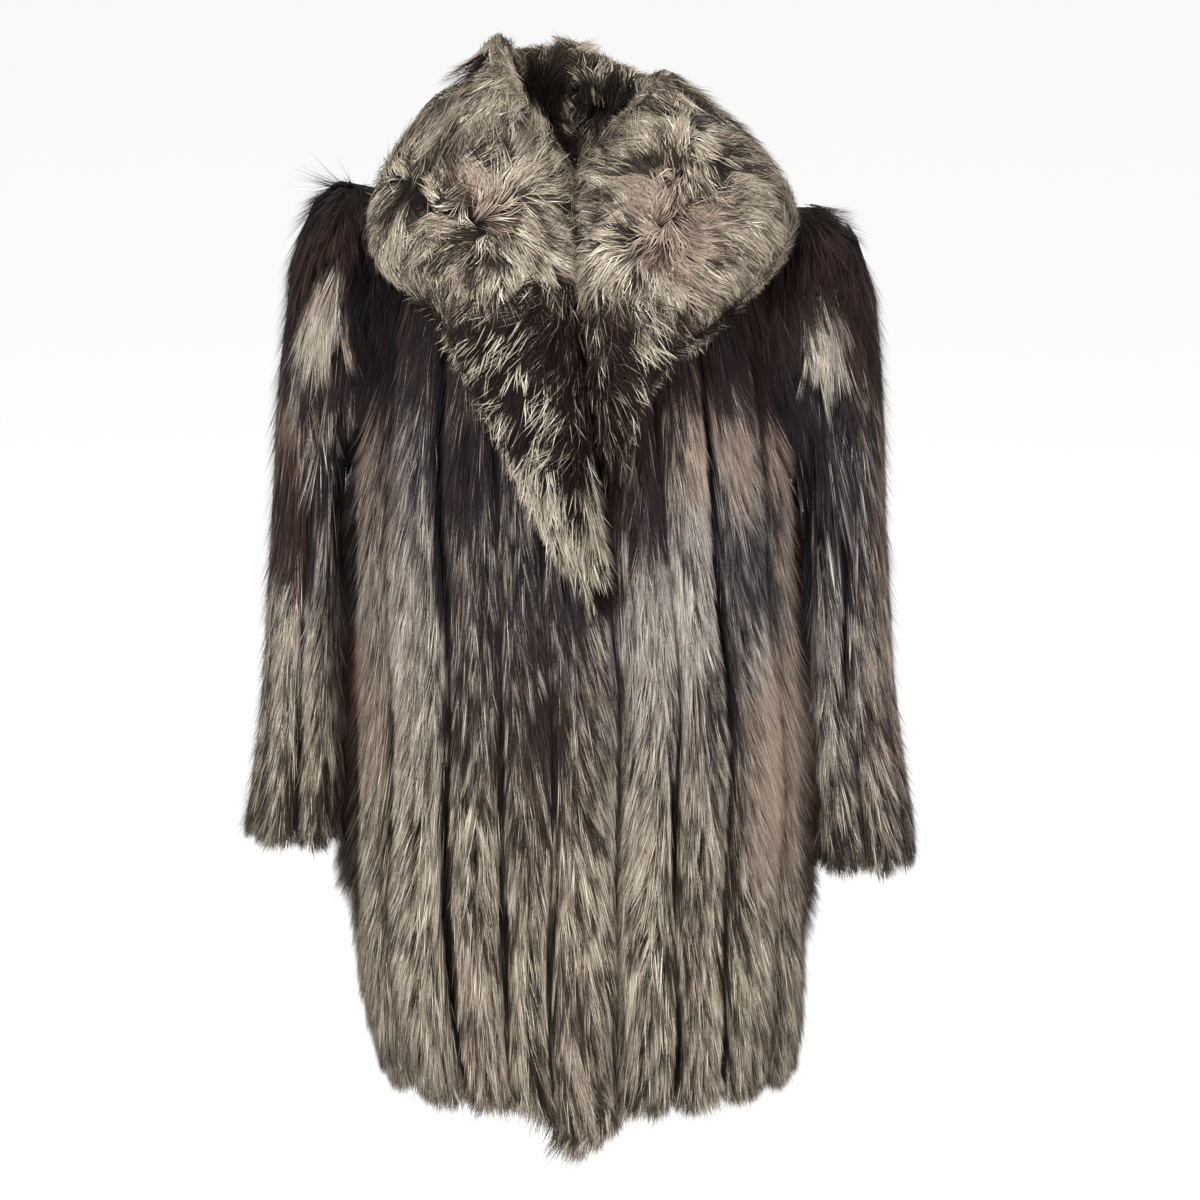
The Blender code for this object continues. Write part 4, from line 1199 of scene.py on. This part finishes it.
# Height and sideways part of the lapel hair's direction
LAPEL_WAYS = {
    -1: ((-0.32, -0.25), (-0.22, -0.42), (-0.13, -0.75), (-0.06, -1.1)),
    1: ((-0.23, 0.30), (-0.16, 0.50), (-0.10, 0.80), (-0.05, 1.1)),
}
LAPEL_FOOT = (-0.17, -0.24)
LAPEL_TIP = (-0.25, -0.31)
PARTING_REACH = 20 * MM
PARTING_STRAY = 26 * MM  # how far the partings wander to and fro
PARTING_PATCH = 0.028
PARTING_FADE = 60 * MM  # from its parting, where the hair has turned to run straight away from it
PARTING_TURN = 0.35  # the sideways part of the hair's direction right beside it
STIR_PATCHES, FINE_STIR = (0.026, 0.010), 0.5
LAPEL_ASIDE = (0.5, 0.5)  # of the lapel's slant at the roll, and what is added up to its edge
BACK_SHORTER, BACK_REACH = 0.35, 0.045  # beside the seam at the centre back
COLLAR_STIFF, LAPEL_STIFF = 0.28, 0.38
ON_STAND = (ROLL - 2, ROLL - 8)  # columns over which the hair turns backward on the stand
COLLAR_FRONT = (0.04, -0.05)  # depths over which the lobes' partings set in
SEAM_SIDE = (0.03, 0.0)
STIR, STIR_LAPEL, STIR_PARTING = 1.5, 0.7, 3.0
STIR_AT_ROLL, STIR_ACROSS = 0.9, (0.45, 0.20)
# What changes the length of the hair: the lapel, its foot and tip, and the partings
LAPEL_SHORTER, FOOT_LONGER, TIP_OVER_FOOT, PARTING_SHORTER = 0.06, 0.25, 1.6, 0.28


def off_parting(places, start, end):
    """Across and upwards from the nearest point of a lobe's parting."""
    stray = [ripple(places, PARTING_PATCH, seed) for seed in (51, 53)]
    seen = places[:, [0, 2]] + PARTING_STRAY * np.stack(stray, axis=1)
    share = np.clip(((seen - start) @ (end - start)) / ((end - start) @ (end - start)), 0, 1)
    return seen - start - share[:, None] * (end - start)


def on_lapel(places):
    """0 on a lobe of the collar and 1 on the lapel below it, with a ragged border."""
    ragged = places[:, 2] + LOBE_RAGGED * ripple(places, RAGGED_PATCH, 41)
    ragged = ragged + LOBE_FALL * np.maximum(np.abs(places[:, 0]) - LOBE_FALL_FROM, 0.0)
    return smooth_step(LOBE_END, LOBE_END - LOBE_BLEND, ragged)


def collar_comb(side):
    """Away from the lobes' partings, backward behind them, and aslant down the lapels."""
    start, end = (np.array(point) for point in PARTINGS[side])
    ways = np.array(LAPEL_WAYS[side])

    def comb(roots):
        places, height = roots.places, roots.places[:, 2]
        away = off_parting(places, start, end)
        apart = length_of(away)
        turn = PARTING_TURN + (1 - PARTING_TURN) * smooth_step(0.0, PARTING_FADE, apart)
        aside = away[:, 0] * turn
        radial = unit(np.stack([aside, 0 * aside, away[:, 1]], axis=1))
        over = unit(roots.by_column)
        on_stand = smooth_step(*ON_STAND, roots.columns)
        backward = over * (1 - 2 * on_stand)[:, None]
        front = (smooth_step(*COLLAR_FRONT, places[:, 1]) * (1 - on_stand))[:, None]
        directions = unit(backward * (1 - front) + radial * front)
        across = np.clip((roots.columns - ROLL) / (EDGE - ROLL), 0, 1)
        aside = np.interp(height, ways[:, 0], ways[:, 1]) * spread(LAPEL_ASIDE, across)
        way = unit(np.stack([aside, 0 * aside, -np.ones(len(aside))], axis=1))
        lapel = on_lapel(places)
        directions = unit(directions * (1 - lapel[:, None]) + way * lapel[:, None])
        stir = ripple(places, STIR_PATCHES[0], 43 + side)
        stir = stir + FINE_STIR * ripple(places, STIR_PATCHES[1], 45 + side)
        near_parting = bell(apart, 0.0, PARTING_REACH)
        stir = stir * (STIR - STIR_LAPEL * lapel + STIR_PARTING * near_parting * (1 - lapel))
        stir = stir * (1.0 + STIR_AT_ROLL * lapel * smooth_step(*STIR_ACROSS, across))
        directions = turned(directions, roots.normals, stir)
        to_seam = -side * SIDEWAYS * smooth_step(*SEAM_SIDE, np.abs(places[:, :1]))
        directions = unit(directions + to_seam * (1 - front))
        foot = smooth_step(*LAPEL_FOOT, height) - TIP_OVER_FOOT * smooth_step(*LAPEL_TIP, height)
        factors = 1.0 - LAPEL_SHORTER * lapel + FOOT_LONGER * foot
        factors = factors - PARTING_SHORTER * near_parting * (1 - lapel)
        at_back = smooth_step(BACK_REACH, 0.0, np.abs(places[:, 0])) * (1 - front[:, 0])
        return directions, factors - BACK_SHORTER * at_back, COLLAR_STIFF + LAPEL_STIFF * lapel

    return comb


# Height, share of the lapel's locks that are bright tufts, and how thick these are in millimetres
TUFTS = {
    -1: (
        (-0.335, 0.0, 3.0),
        (-0.300, 0.30, 5.0),
        (-0.260, 0.62, 5.6),
        (-0.215, 0.60, 5.0),
        (-0.190, 0.44, 4.0),
        (-0.165, 0.27, 2.5),
        (-0.050, 0.20, 2.3),
    ),
    1: ((-0.23, 0.20, 2.7), (-0.05, 0.18, 2.4)),
}
LAPEL_CURLS = 0.12  # share of thin light hairs between the tufts, near the roll
LAPEL_LEVEL = {-1: 0.04, 1: 0.16}
LAPEL_SHADE = {-1: 0.64, 1: 0.48}
FLANK_MIDDLE = -0.112  # the hair lies flatter beside the right half's raised tip
FLANK_HALF = 0.032
FLANK_TOP = (0.04, 0.08)
FLANK_DIP = 10 * MM
# Level and brown share of the lobes, what noise adds to them, and the size of its patches
LOBE_LEVEL, LOBE_SPREAD, LOBE_PATCH = {-1: 0.51 + 0.02, 1: 0.51 - 0.02}, 0.40, 0.02
LOBE_BROWN, LOBE_BROWN_SPREAD, LOBE_BROWN_PATCH = 0.14, 0.5, 0.03
STREAK_PATCH = 0.006
LOBE_BLEND_TONES, LOBE_DARK, LOBE_BRIGHT = 0.08, 0.04, 0.57
LOBE_PICK = (0.26, 0.26, 0.48)
# Painted shade: the inside of the standing part, turned to the neck, gets fewer light hairs
STAND_PAINTED_SHADE = 0.22  # by which the inside of the standing part is darker
TUFT_TONE, CURL_TONE = (0.63, 0.31), (0.50, 0.30)
TUFT_REACH, TUFT_PULL, TUFT_LIFT = 0.80, 1.9, 4 * MM
TUFT_OUTWARD = (0.35, 0.75)  # share of them at the roll, and what being off it adds
TUFT_BROADER = (0.6, 0.4)
ROOTS_HIDDEN, ROOTS_REACH = 0.34, 24 * MM  # the dark roots don't show right beside a parting


def collar_colour(side):
    """The looks of a collar half: pale lobes, and dark lapels with bright tufts."""
    tufts = np.array(TUFTS[side])

    def colour(roots, luck, lock_luck, off_middle):
        places = roots.places
        level = LOBE_LEVEL[side] + LOBE_SPREAD * ripple(places, LOBE_PATCH, 31 + side)
        brown = LOBE_BROWN + LOBE_BROWN_SPREAD * ripple(places, LOBE_BROWN_PATCH, 35 + side)
        level, brown, soft = patched(places, COLLAR_PATCHES, level, brown)
        # painted shade on the inside of the standing part
        level = level - STAND_PAINTED_SHADE * smooth_step(ROLL, ROLL - LOOP_STEPS, roots.columns)
        lapel = on_lapel(places)
        level = level + (LAPEL_LEVEL[side] - level) * lapel
        streak = 0.5 + ripple(places, STREAK_PATCH, 37 + side)
        pick = picked(LOBE_PICK, streak, luck, lock_luck)
        tone = mingled(level, soft, pick, luck, LOBE_BLEND_TONES, LOBE_DARK, LOBE_BRIGHT)
        share, width = (np.interp(places[:, 2], tufts[:, 0], tufts[:, n]) for n in (1, 2))
        outer = smooth_step(ROLL, FACE, roots.columns)
        outer = np.maximum(outer, smooth_step(*LAPEL_FOOT, places[:, 2]))
        tuft = (lapel > 0.5) & (lock_luck[:, 4] < share * spread(TUFT_OUTWARD, outer))
        tuft = tuft & (off_middle < width * spread(TUFT_BROADER, outer) * MM)
        curl = (lapel > 0.5) & (luck[:, 3] < LAPEL_CURLS * (1.0 - outer))
        tone = tone * (1.0 - LAPEL_SHADE[side] * lapel)
        tone = np.where(curl, spread(CURL_TONE, luck[:, 2]), tone)
        tone = np.where(tuft, spread(TUFT_TONE, luck[:, 2]), tone)
        mix = 0.5 * luck[:, 5] + 0.5 * lock_luck[:, 0] < brown
        family = np.where(tuft | curl, CREAM, np.where(mix | (lapel > 0.5), BROWN, CREAM))
        untipped = UNTIPPED * (luck[:, 6] < COLLAR_UNTIPPED_SHARE)
        reach = np.where(tuft, TUFT_REACH, 1.0 - untipped)
        start, end = (np.array(point) for point in PARTINGS[side])
        near = bell(length_of(off_parting(places, start, end)), 0.0, ROOTS_REACH)
        begins = ROOTS_HIDDEN * near * (1 - lapel)
        lifts = np.where(tuft, TUFT_LIFT, 0.0)
        if side < 0:
            flank = bell(places[:, 0], FLANK_MIDDLE, FLANK_HALF)
            lifts = lifts - FLANK_DIP * flank * smooth_step(*FLANK_TOP, places[:, 2])
        return Looks(tone, family, reach, np.where(tuft, TUFT_PULL, 1.0), lifts, begins)

    return colour


# -------------------------------------------------- materials


def new_material(name):
    material = bpy.data.materials.new(name)
    material.use_nodes = True
    nodes, links = material.node_tree.nodes, material.node_tree.links
    nodes.clear()
    output = nodes.new("ShaderNodeOutputMaterial")
    shader = nodes.new("ShaderNodeBsdfPrincipled")
    links.new(shader.outputs["BSDF"], output.inputs["Surface"])
    return material, nodes, links, shader


def feed(links, socket, value):
    """Set a socket to a number or a colour, or link another node's output to it."""
    if isinstance(value, (int, float)):
        socket.default_value = value
    elif isinstance(value, tuple):
        socket.default_value = (*value, 1.0)
    else:
        links.new(value, socket)


def fill(links, node, **inputs):
    """Feed a node's inputs, given by name with _ for a blank."""
    for name, value in inputs.items():
        feed(links, node.inputs[name.replace("_", " ")], value)


def made(nodes, links, kind, **inputs):
    node = nodes.new("ShaderNode" + kind)
    fill(links, node, **inputs)
    return node


def ramp(nodes, links, value, stops):
    node = made(nodes, links, "ValToRGB", Fac=value)
    elements = node.color_ramp.elements
    while len(elements) < len(stops):
        elements.new(0.5)
    for element, (place, colour) in zip(elements, stops):
        element.position = place
        element.color = (*colour, 1.0)
    return node.outputs["Color"]


def maths(nodes, links, operation, *values):
    node = nodes.new("ShaderNodeMath")
    node.operation = operation
    for socket, value in zip(node.inputs, values):
        feed(links, socket, value)
    return node.outputs["Value"]


def mixed(nodes, links, blend, factor, first, second):
    node = nodes.new("ShaderNodeMix")
    node.data_type = "RGBA"
    node.blend_type = blend
    for socket, value in zip(("Factor", 6, 7), (factor, first, second)):
        feed(links, node.inputs[socket], value)
    return node.outputs[2]


def bumped(nodes, links, shader, height, strength, distance):
    """Feed a height into the normal of a shader."""
    bump = made(nodes, links, "Bump", Strength=strength, Distance=distance, Height=height)
    fill(links, shader, Normal=bump.outputs["Normal"])


SILVER_STOPS = (
    (0.00, (0.003, 0.002, 0.002)),
    (0.25, (0.030, 0.024, 0.029)),
    (0.50, (0.158, 0.136, 0.133)),
    (0.75, (0.440, 0.392, 0.340)),
    (1.00, (0.840, 0.775, 0.665)),
)
BROWN_STOPS = (
    (0.00, (0.004, 0.002, 0.002)),
    (0.25, (0.054, 0.029, 0.023)),
    (0.50, (0.200, 0.140, 0.112)),
    (0.75, (0.420, 0.325, 0.262)),
    (1.00, (0.700, 0.590, 0.470)),
)
CREAM_STOPS = (
    (0.00, (0.004, 0.003, 0.002)),
    (0.25, (0.042, 0.029, 0.021)),
    (0.50, (0.212, 0.166, 0.124)),
    (0.75, (0.510, 0.440, 0.338)),
    (1.00, (0.920, 0.860, 0.710)),
)
PELT_STOPS = (
    (0.30, (0.003, 0.002, 0.002)),
    (0.55, (0.008, 0.006, 0.005)),
    (0.75, (0.026, 0.019, 0.015)),
)
UNDERFUR_GRAIN = (420.0, 420.0, 46.0)
LINING_STOPS = ((0.35, (0.020, 0.014, 0.012)), (0.65, (0.036, 0.026, 0.022)))
# Shade along a hair, from its root to its tip
ALONG_STOPS = ((0.0, 0.03), (0.27, 0.12), (0.50, 0.74), (0.74, 1.0), (0.91, 0.68), (1.0, 0.34))


def hair_material():
    """Hair by the hair map: tone across, and family and place along the strand upwards."""
    material, nodes, links, shader = new_material("fox_hair")
    place = nodes.new("ShaderNodeUVMap")
    place.uv_map = HAIR_MAP
    split = made(nodes, links, "SeparateXYZ", Vector=place.outputs["UV"])
    tone = split.outputs["X"]
    scaled = maths(nodes, links, "MULTIPLY", split.outputs["Y"], float(FAMILIES))
    along = maths(nodes, links, "FRACT", scaled)
    colour = ramp(nodes, links, tone, SILVER_STOPS)
    for family, stops in ((BROWN, BROWN_STOPS), (CREAM, CREAM_STOPS)):
        this_family = maths(nodes, links, "GREATER_THAN", scaled, float(family))
        own = ramp(nodes, links, tone, stops)
        colour = mixed(nodes, links, "MIX", this_family, colour, own)
    shade = ramp(nodes, links, along, [(share, (level,) * 3) for share, level in ALONG_STOPS])
    colour = mixed(nodes, links, "MULTIPLY", 1.0, colour, shade)
    places = nodes.new("ShaderNodeTexCoord").outputs["Object"]
    grain = made(nodes, links, "TexNoise", Vector=places, Scale=90.0, Detail=2.0)
    rough = made(nodes, links, "MapRange", Value=grain.outputs["Fac"], To_Min=0.34, To_Max=0.62)
    fill(links, shader, Base_Color=colour, Roughness=rough.outputs["Result"])
    fill(links, shader, Specular_IOR_Level=0.08, Sheen_Weight=0.02, Sheen_Roughness=0.4)
    return material


def pelt_material():
    """Short dense underfur between the long hair, dark and combed downwards."""
    material, nodes, links, shader = new_material("fox_underfur")
    places = nodes.new("ShaderNodeTexCoord").outputs["Object"]
    mapping = made(nodes, links, "Mapping", Vector=places)
    mapping.inputs["Scale"].default_value = UNDERFUR_GRAIN
    combed = mapping.outputs["Vector"]
    streaks = made(nodes, links, "TexNoise", Vector=combed, Scale=1.0, Detail=3.0).outputs["Fac"]
    bumped(nodes, links, shader, streaks, strength=0.6, distance=2 * MM)
    colour = ramp(nodes, links, streaks, PELT_STOPS)
    fill(links, shader, Base_Color=colour, Roughness=0.85, Specular_IOR_Level=0.1)
    return material


def lining_material():
    """The plain inside: a fine dark twill."""
    material, nodes, links, shader = new_material("lining_twill")
    places = nodes.new("ShaderNodeTexCoord").outputs["Object"]
    waves = made(nodes, links, "TexWave", Vector=places, Scale=260.0)
    waves.wave_type = "BANDS"
    waves.bands_direction = "DIAGONAL"
    broad = made(nodes, links, "TexNoise", Vector=places, Scale=14.0)
    colour = ramp(nodes, links, broad.outputs["Fac"], LINING_STOPS)
    bumped(nodes, links, shader, waves.outputs["Fac"], strength=0.25, distance=0.3 * MM)
    fill(links, shader, Base_Color=colour, Roughness=0.42)
    return material


hair = hair_material()
underfur = pelt_material()
lining = lining_material()

# -------------------------------------------------- pelts

PELT_SHARE = 0.42  # of the wall's thickness
TOP_PELT_SHARE = 0.40  # more of it on the shoulders beside the collar, where the underfur is dense
TOP_PELT = (0.190, 0.035)  # how far from the middle, and its reach
HEM_RAISE = 24 * MM  # the pelt ends above the tips of the fur
HEM_FADE = 90 * MM
LINING_SHARE = 0.2  # of the wall's thickness, under which a face belongs to the lining
COLLAR_PELT = 4 * MM


def thinned_pelt(name, skin):
    """The node's own wall, its fur side brought in and its lower edge raised."""
    points, faces = solids[name]
    points = np.array([tuple(point) for point in points])
    grid_in, grid_out = skin.inside.reshape(-1, 3), skin.outside.reshape(-1, 3)
    tree = tree_of(np.concatenate([grid_in, grid_out]))
    lowest = np.broadcast_to(skin.outside[0, :, 2], skin.outside.shape[:2]).ravel()
    moved, depth, above = points.copy(), np.zeros(len(points)), np.zeros(len(points))
    for number, point in enumerate(points):
        nearest = tree.find(point)[1] % len(grid_in)
        through = grid_out[nearest] - grid_in[nearest]
        share = np.clip(np.dot(point - grid_in[nearest], through) / np.dot(through, through), 0, 1)
        on_top = smooth_step(*SHOULDER_TOP, point[2]) * bell(abs(point[0]), *TOP_PELT)
        moved[number] -= through * share * (1 - PELT_SHARE - TOP_PELT_SHARE * on_top)
        depth[number] = share
        above[number] = point[2] - lowest[nearest]
    moved[:, 2] += HEM_RAISE * (1.0 - smooth_step(0.0, HEM_FADE, above))
    mesh = bpy.data.meshes.new(name + "_pelt")
    mesh.from_pydata([tuple(point) for point in moved], [], faces)
    mesh.update()
    mesh.materials.append(underfur)
    mesh.materials.append(lining)
    for polygon in mesh.polygons:
        polygon.material_index = int(all(depth[v] < LINING_SHARE for v in polygon.vertices))
    mesh.shade_smooth()
    mesh.set_sharp_from_angle(angle=SHARP_ANGLE)
    return add_object(name + "_pelt", mesh)


def collar_pelt(name, skin, kept):
    """A thin skin under the collar's fur, rolled over as one sheet."""
    top = skin.inside
    base = skin.inside - skin.normals * COLLAR_PELT
    rows, columns = kept.shape
    used = kept[:-1, :-1] + kept[1:, :-1] + kept[:-1, 1:] + kept[1:, 1:] > 3.5
    points = np.concatenate([top.reshape(-1, 3), base.reshape(-1, 3)])
    second = rows * columns
    number = np.arange(second).reshape(rows, columns)
    quads = np.stack([number[:-1, :-1], number[:-1, 1:], number[1:, 1:], number[1:, :-1]], axis=-1)
    quads = quads[used]
    faces = [tuple(int(v) for v in quad) for quad in quads]
    edges = {pair: True for face in faces for pair in zip(face, face[1:] + face[:1])}
    rim = [(here, there) for here, there in edges if (there, here) not in edges]
    faces += [tuple(v + second for v in reversed(face)) for face in faces]
    faces += [(there, here, here + second, there + second) for here, there in rim]
    mesh = bpy.data.meshes.new(name + "_pelt")
    mesh.from_pydata([tuple(point) for point in points], [], faces)
    loose = set(range(len(points))) - {v for face in faces for v in face}
    mesh.update()
    mesh.materials.append(underfur)
    work = bmesh.new()
    work.from_mesh(mesh)
    work.verts.ensure_lookup_table()
    bmesh.ops.delete(work, geom=[work.verts[v] for v in loose], context="VERTS")
    bmesh.ops.recalc_face_normals(work, faces=work.faces)
    work.to_mesh(mesh)
    work.free()
    mesh.shade_smooth()
    return add_object(name + "_pelt", mesh)


# -------------------------------------------------- the coat

BACK_STYLE = Style(60 * MM, 1.00 * MM, 1.00, 16, 0.70, 0.38, 0.08, 9 * MM, 0.16, 1, 0.34, 0.70)
FRONT_STYLE = BACK_STYLE._replace(width=0.88 * MM, lock=18)
SLEEVE_STYLE = Style(54 * MM, 0.88 * MM, 0.94, 18, 0.70, 0.38, 0.10, 11 * MM, 0.16, 1, 0.34, 0.52)
COLLAR_STYLE = Style(44 * MM, 0.85 * MM, 0.91, 24, 0.75, 0.60, 0.18, 8 * MM, 0.30, 2, 0.16, 1.0)

# Strands, of one triangle on the panels and of two on the collar, how they are combed, and the width
# and length of the flat cut and its area in square metres
Cut = namedtuple("Cut", "strands comb width length area")
CUTS = {
    "back": Cut(130000, back_comb, 0.53, 0.85, 0.42),
    "front_right": Cut(125000, front_comb("front_right", RIGHT_LEAN), 0.30, 0.88, 0.24),
    "front_left": Cut(125000, front_comb("front_left", LEFT_LEAN), 0.30, 0.84, 0.24),
    "sleeve_right": Cut(115000, sleeve_comb(-1), 0.34, 0.62, 0.19),
    "sleeve_left": Cut(115000, sleeve_comb(1), 0.34, 0.62, 0.19),
    "collar_right": Cut(82000, collar_comb(-1), 0.33, 0.56, 0.155),
    "collar_left": Cut(80000, collar_comb(1), 0.33, 0.50, 0.14),
}
BODY = ["back", "front_right", "front_left"]
SLEEVES = ["sleeve_right", "sleeve_left"]
COLLARS = ["collar_right", "collar_left"]

GROOVE_BARE = 0.95  # share of the roots that an open groove loses
GROOVE_WIDTH = (0.82, 0.98)  # from a strip's crest to its edge, over which it loses them
GROOVE_WIDER = 0.16  # how much nearer to the crest that is where the groove is open
HIDDEN = 0.97  # roots deeper than this under the collar are left out
HIDDEN_BLUR, RAISED_BLUR = 10, 4
FRINGE = (18 * MM, 46 * MM)  # heights above the lower edge between which the roots set in
FRINGE_THICK = (26 * MM, 80 * MM)  # and between which they are closer together
FRINGE_MORE, RAISED_MORE = 1.2, 0.8  # what that adds to them, and where the fur stands out
GROOVE_START = (15 * MM, 65 * MM)  # and between which the grooves open
NEAR = 24 * MM  # within which another panel fills the gap above the hair
UNDER_COLLAR = 60 * MM


def panel_weight(name, skin):
    """How close the roots stand on a panel: fewer in open grooves and none that can't show."""
    heights = skin.outside[..., 2]
    columns = np.broadcast_to(np.arange(heights.shape[1]), heights.shape)
    parted = opened(name, columns.ravel(), heights.ravel()).reshape(heights.shape)
    share = strip_share(skin.strips)
    off_crest = np.abs(2 * share - 1) + GROOVE_WIDER * parted
    above = heights - heights[:1]
    parted = parted * smooth_step(*GROOVE_START, above)
    weight = 1.0 - GROOVE_BARE * parted * smooth_step(*GROOVE_WIDTH, off_crest)
    weight = weight * smooth_step(*FRINGE, above)
    weight = weight * (1 + FRINGE_MORE * (1 - smooth_step(*FRINGE_THICK, above)))
    hidden = softened(covered_grid(skin, COLLARS, UNDER_COLLAR), HIDDEN_BLUR)
    return weight * (hidden < HIDDEN)


def dress(name):
    """Put a pelt and fur in the place of a node."""
    skin, cut = skins[name], CUTS[name]
    weight = kept_grid(name, skin)
    seed = 100 + 10 * list(skins).index(name)
    raised = 0 * weight
    if name in COLLARS:
        side = -1 if name == "collar_right" else 1
        pelt = collar_pelt(name, skin, weight)
        style, colour = COLLAR_STYLE, collar_colour(side)
    else:
        pelt = thinned_pelt(name, skin)
        weight = weight * panel_weight(name, skin)
        if name in SLEEVES:
            others, style = BODY, SLEEVE_STYLE
            colour = panel_colour(name, SLEEVE_LEVELS, SLEEVE_PATCHES, seed)
        else:
            others, style = SLEEVES, BACK_STYLE if name == "back" else FRONT_STYLE
            colour = panel_colour(name, BODY_LEVELS, BODY_PATCHES, seed)
        raised = softened(covered_grid(skin, others, NEAR), RAISED_BLUR)
        weight = weight * (1 + RAISED_MORE * raised)
    strands = cut.strands
    fur = grow(name, skin, weight, raised, strands, style, cut.comb, colour, seed)
    fur.data.materials.append(hair)
    for piece in (pelt, fur):
        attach(piece, "root")
        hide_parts(name)


for name in skins:
    dress(name)

# -------------------------------------------------- floor, light and camera

FLOOR_HEIGHT = -1.36
FLOOR_HALF = 14.0
FLOOR_CORNERS = ((-1, -1), (1, -1), (1, 1), (-1, 1))
EYE_TARGET = Vector((0.0242, 0.0, CHEST_HEIGHT))
EYE_DISTANCE = 5.0 / math.cos(SEEN_FROM)
FRAME_SIZE = 1200
PIXELS_PER_METRE = 1075
SENSOR = 36.0


def make_floor():
    mesh = bpy.data.meshes.new("floor")
    corners = [(x * FLOOR_HALF, y * FLOOR_HALF, FLOOR_HEIGHT) for x, y in FLOOR_CORNERS]
    mesh.from_pydata(corners, [], [(0, 1, 2, 3)])
    floor = add_object("floor", mesh)
    material, nodes, links, shader = new_material("pale_floor")
    fill(links, shader, Base_Color=(0.93, 0.93, 0.925), Roughness=0.9)
    mesh.materials.append(material)


def area_light(name, place, target, size, power):
    light = bpy.data.lights.new(name, "AREA")
    light.shape = "DISK"
    light.size = size
    light.energy = power
    obj = add_object(name, light)
    obj.location = place
    obj.rotation_euler = (Vector(target) - Vector(place)).to_track_quat("-Z", "Y").to_euler()


def make_world():
    world = bpy.data.worlds.new("studio")
    bpy.context.scene.world = world
    world.use_nodes = True
    background = world.node_tree.nodes["Background"]
    background.inputs["Color"].default_value = (1.0, 1.0, 1.0, 1.0)
    background.inputs["Strength"].default_value = 1.0


def make_camera():
    data = bpy.data.cameras.new("camera")
    data.sensor_width = SENSOR
    data.lens = SENSOR * PIXELS_PER_METRE * EYE_DISTANCE / FRAME_SIZE
    camera = add_object("camera", data)
    away = Vector((0.0, -math.cos(SEEN_FROM), math.sin(SEEN_FROM)))
    camera.location = EYE_TARGET + away * EYE_DISTANCE
    camera.rotation_euler = (-away).to_track_quat("-Z", "Y").to_euler()
    bpy.context.scene.camera = camera


make_floor()
make_world()
area_light("key", (-1.4, -3.2, 1.9), (0.0, 0.0, -0.35), 1.6, 150)
area_light("fill", (2.4, -2.6, 0.6), (0.0, 0.0, -0.4), 2.0, 60)
make_camera()
bpy.context.scene.view_settings.view_transform = "Standard"
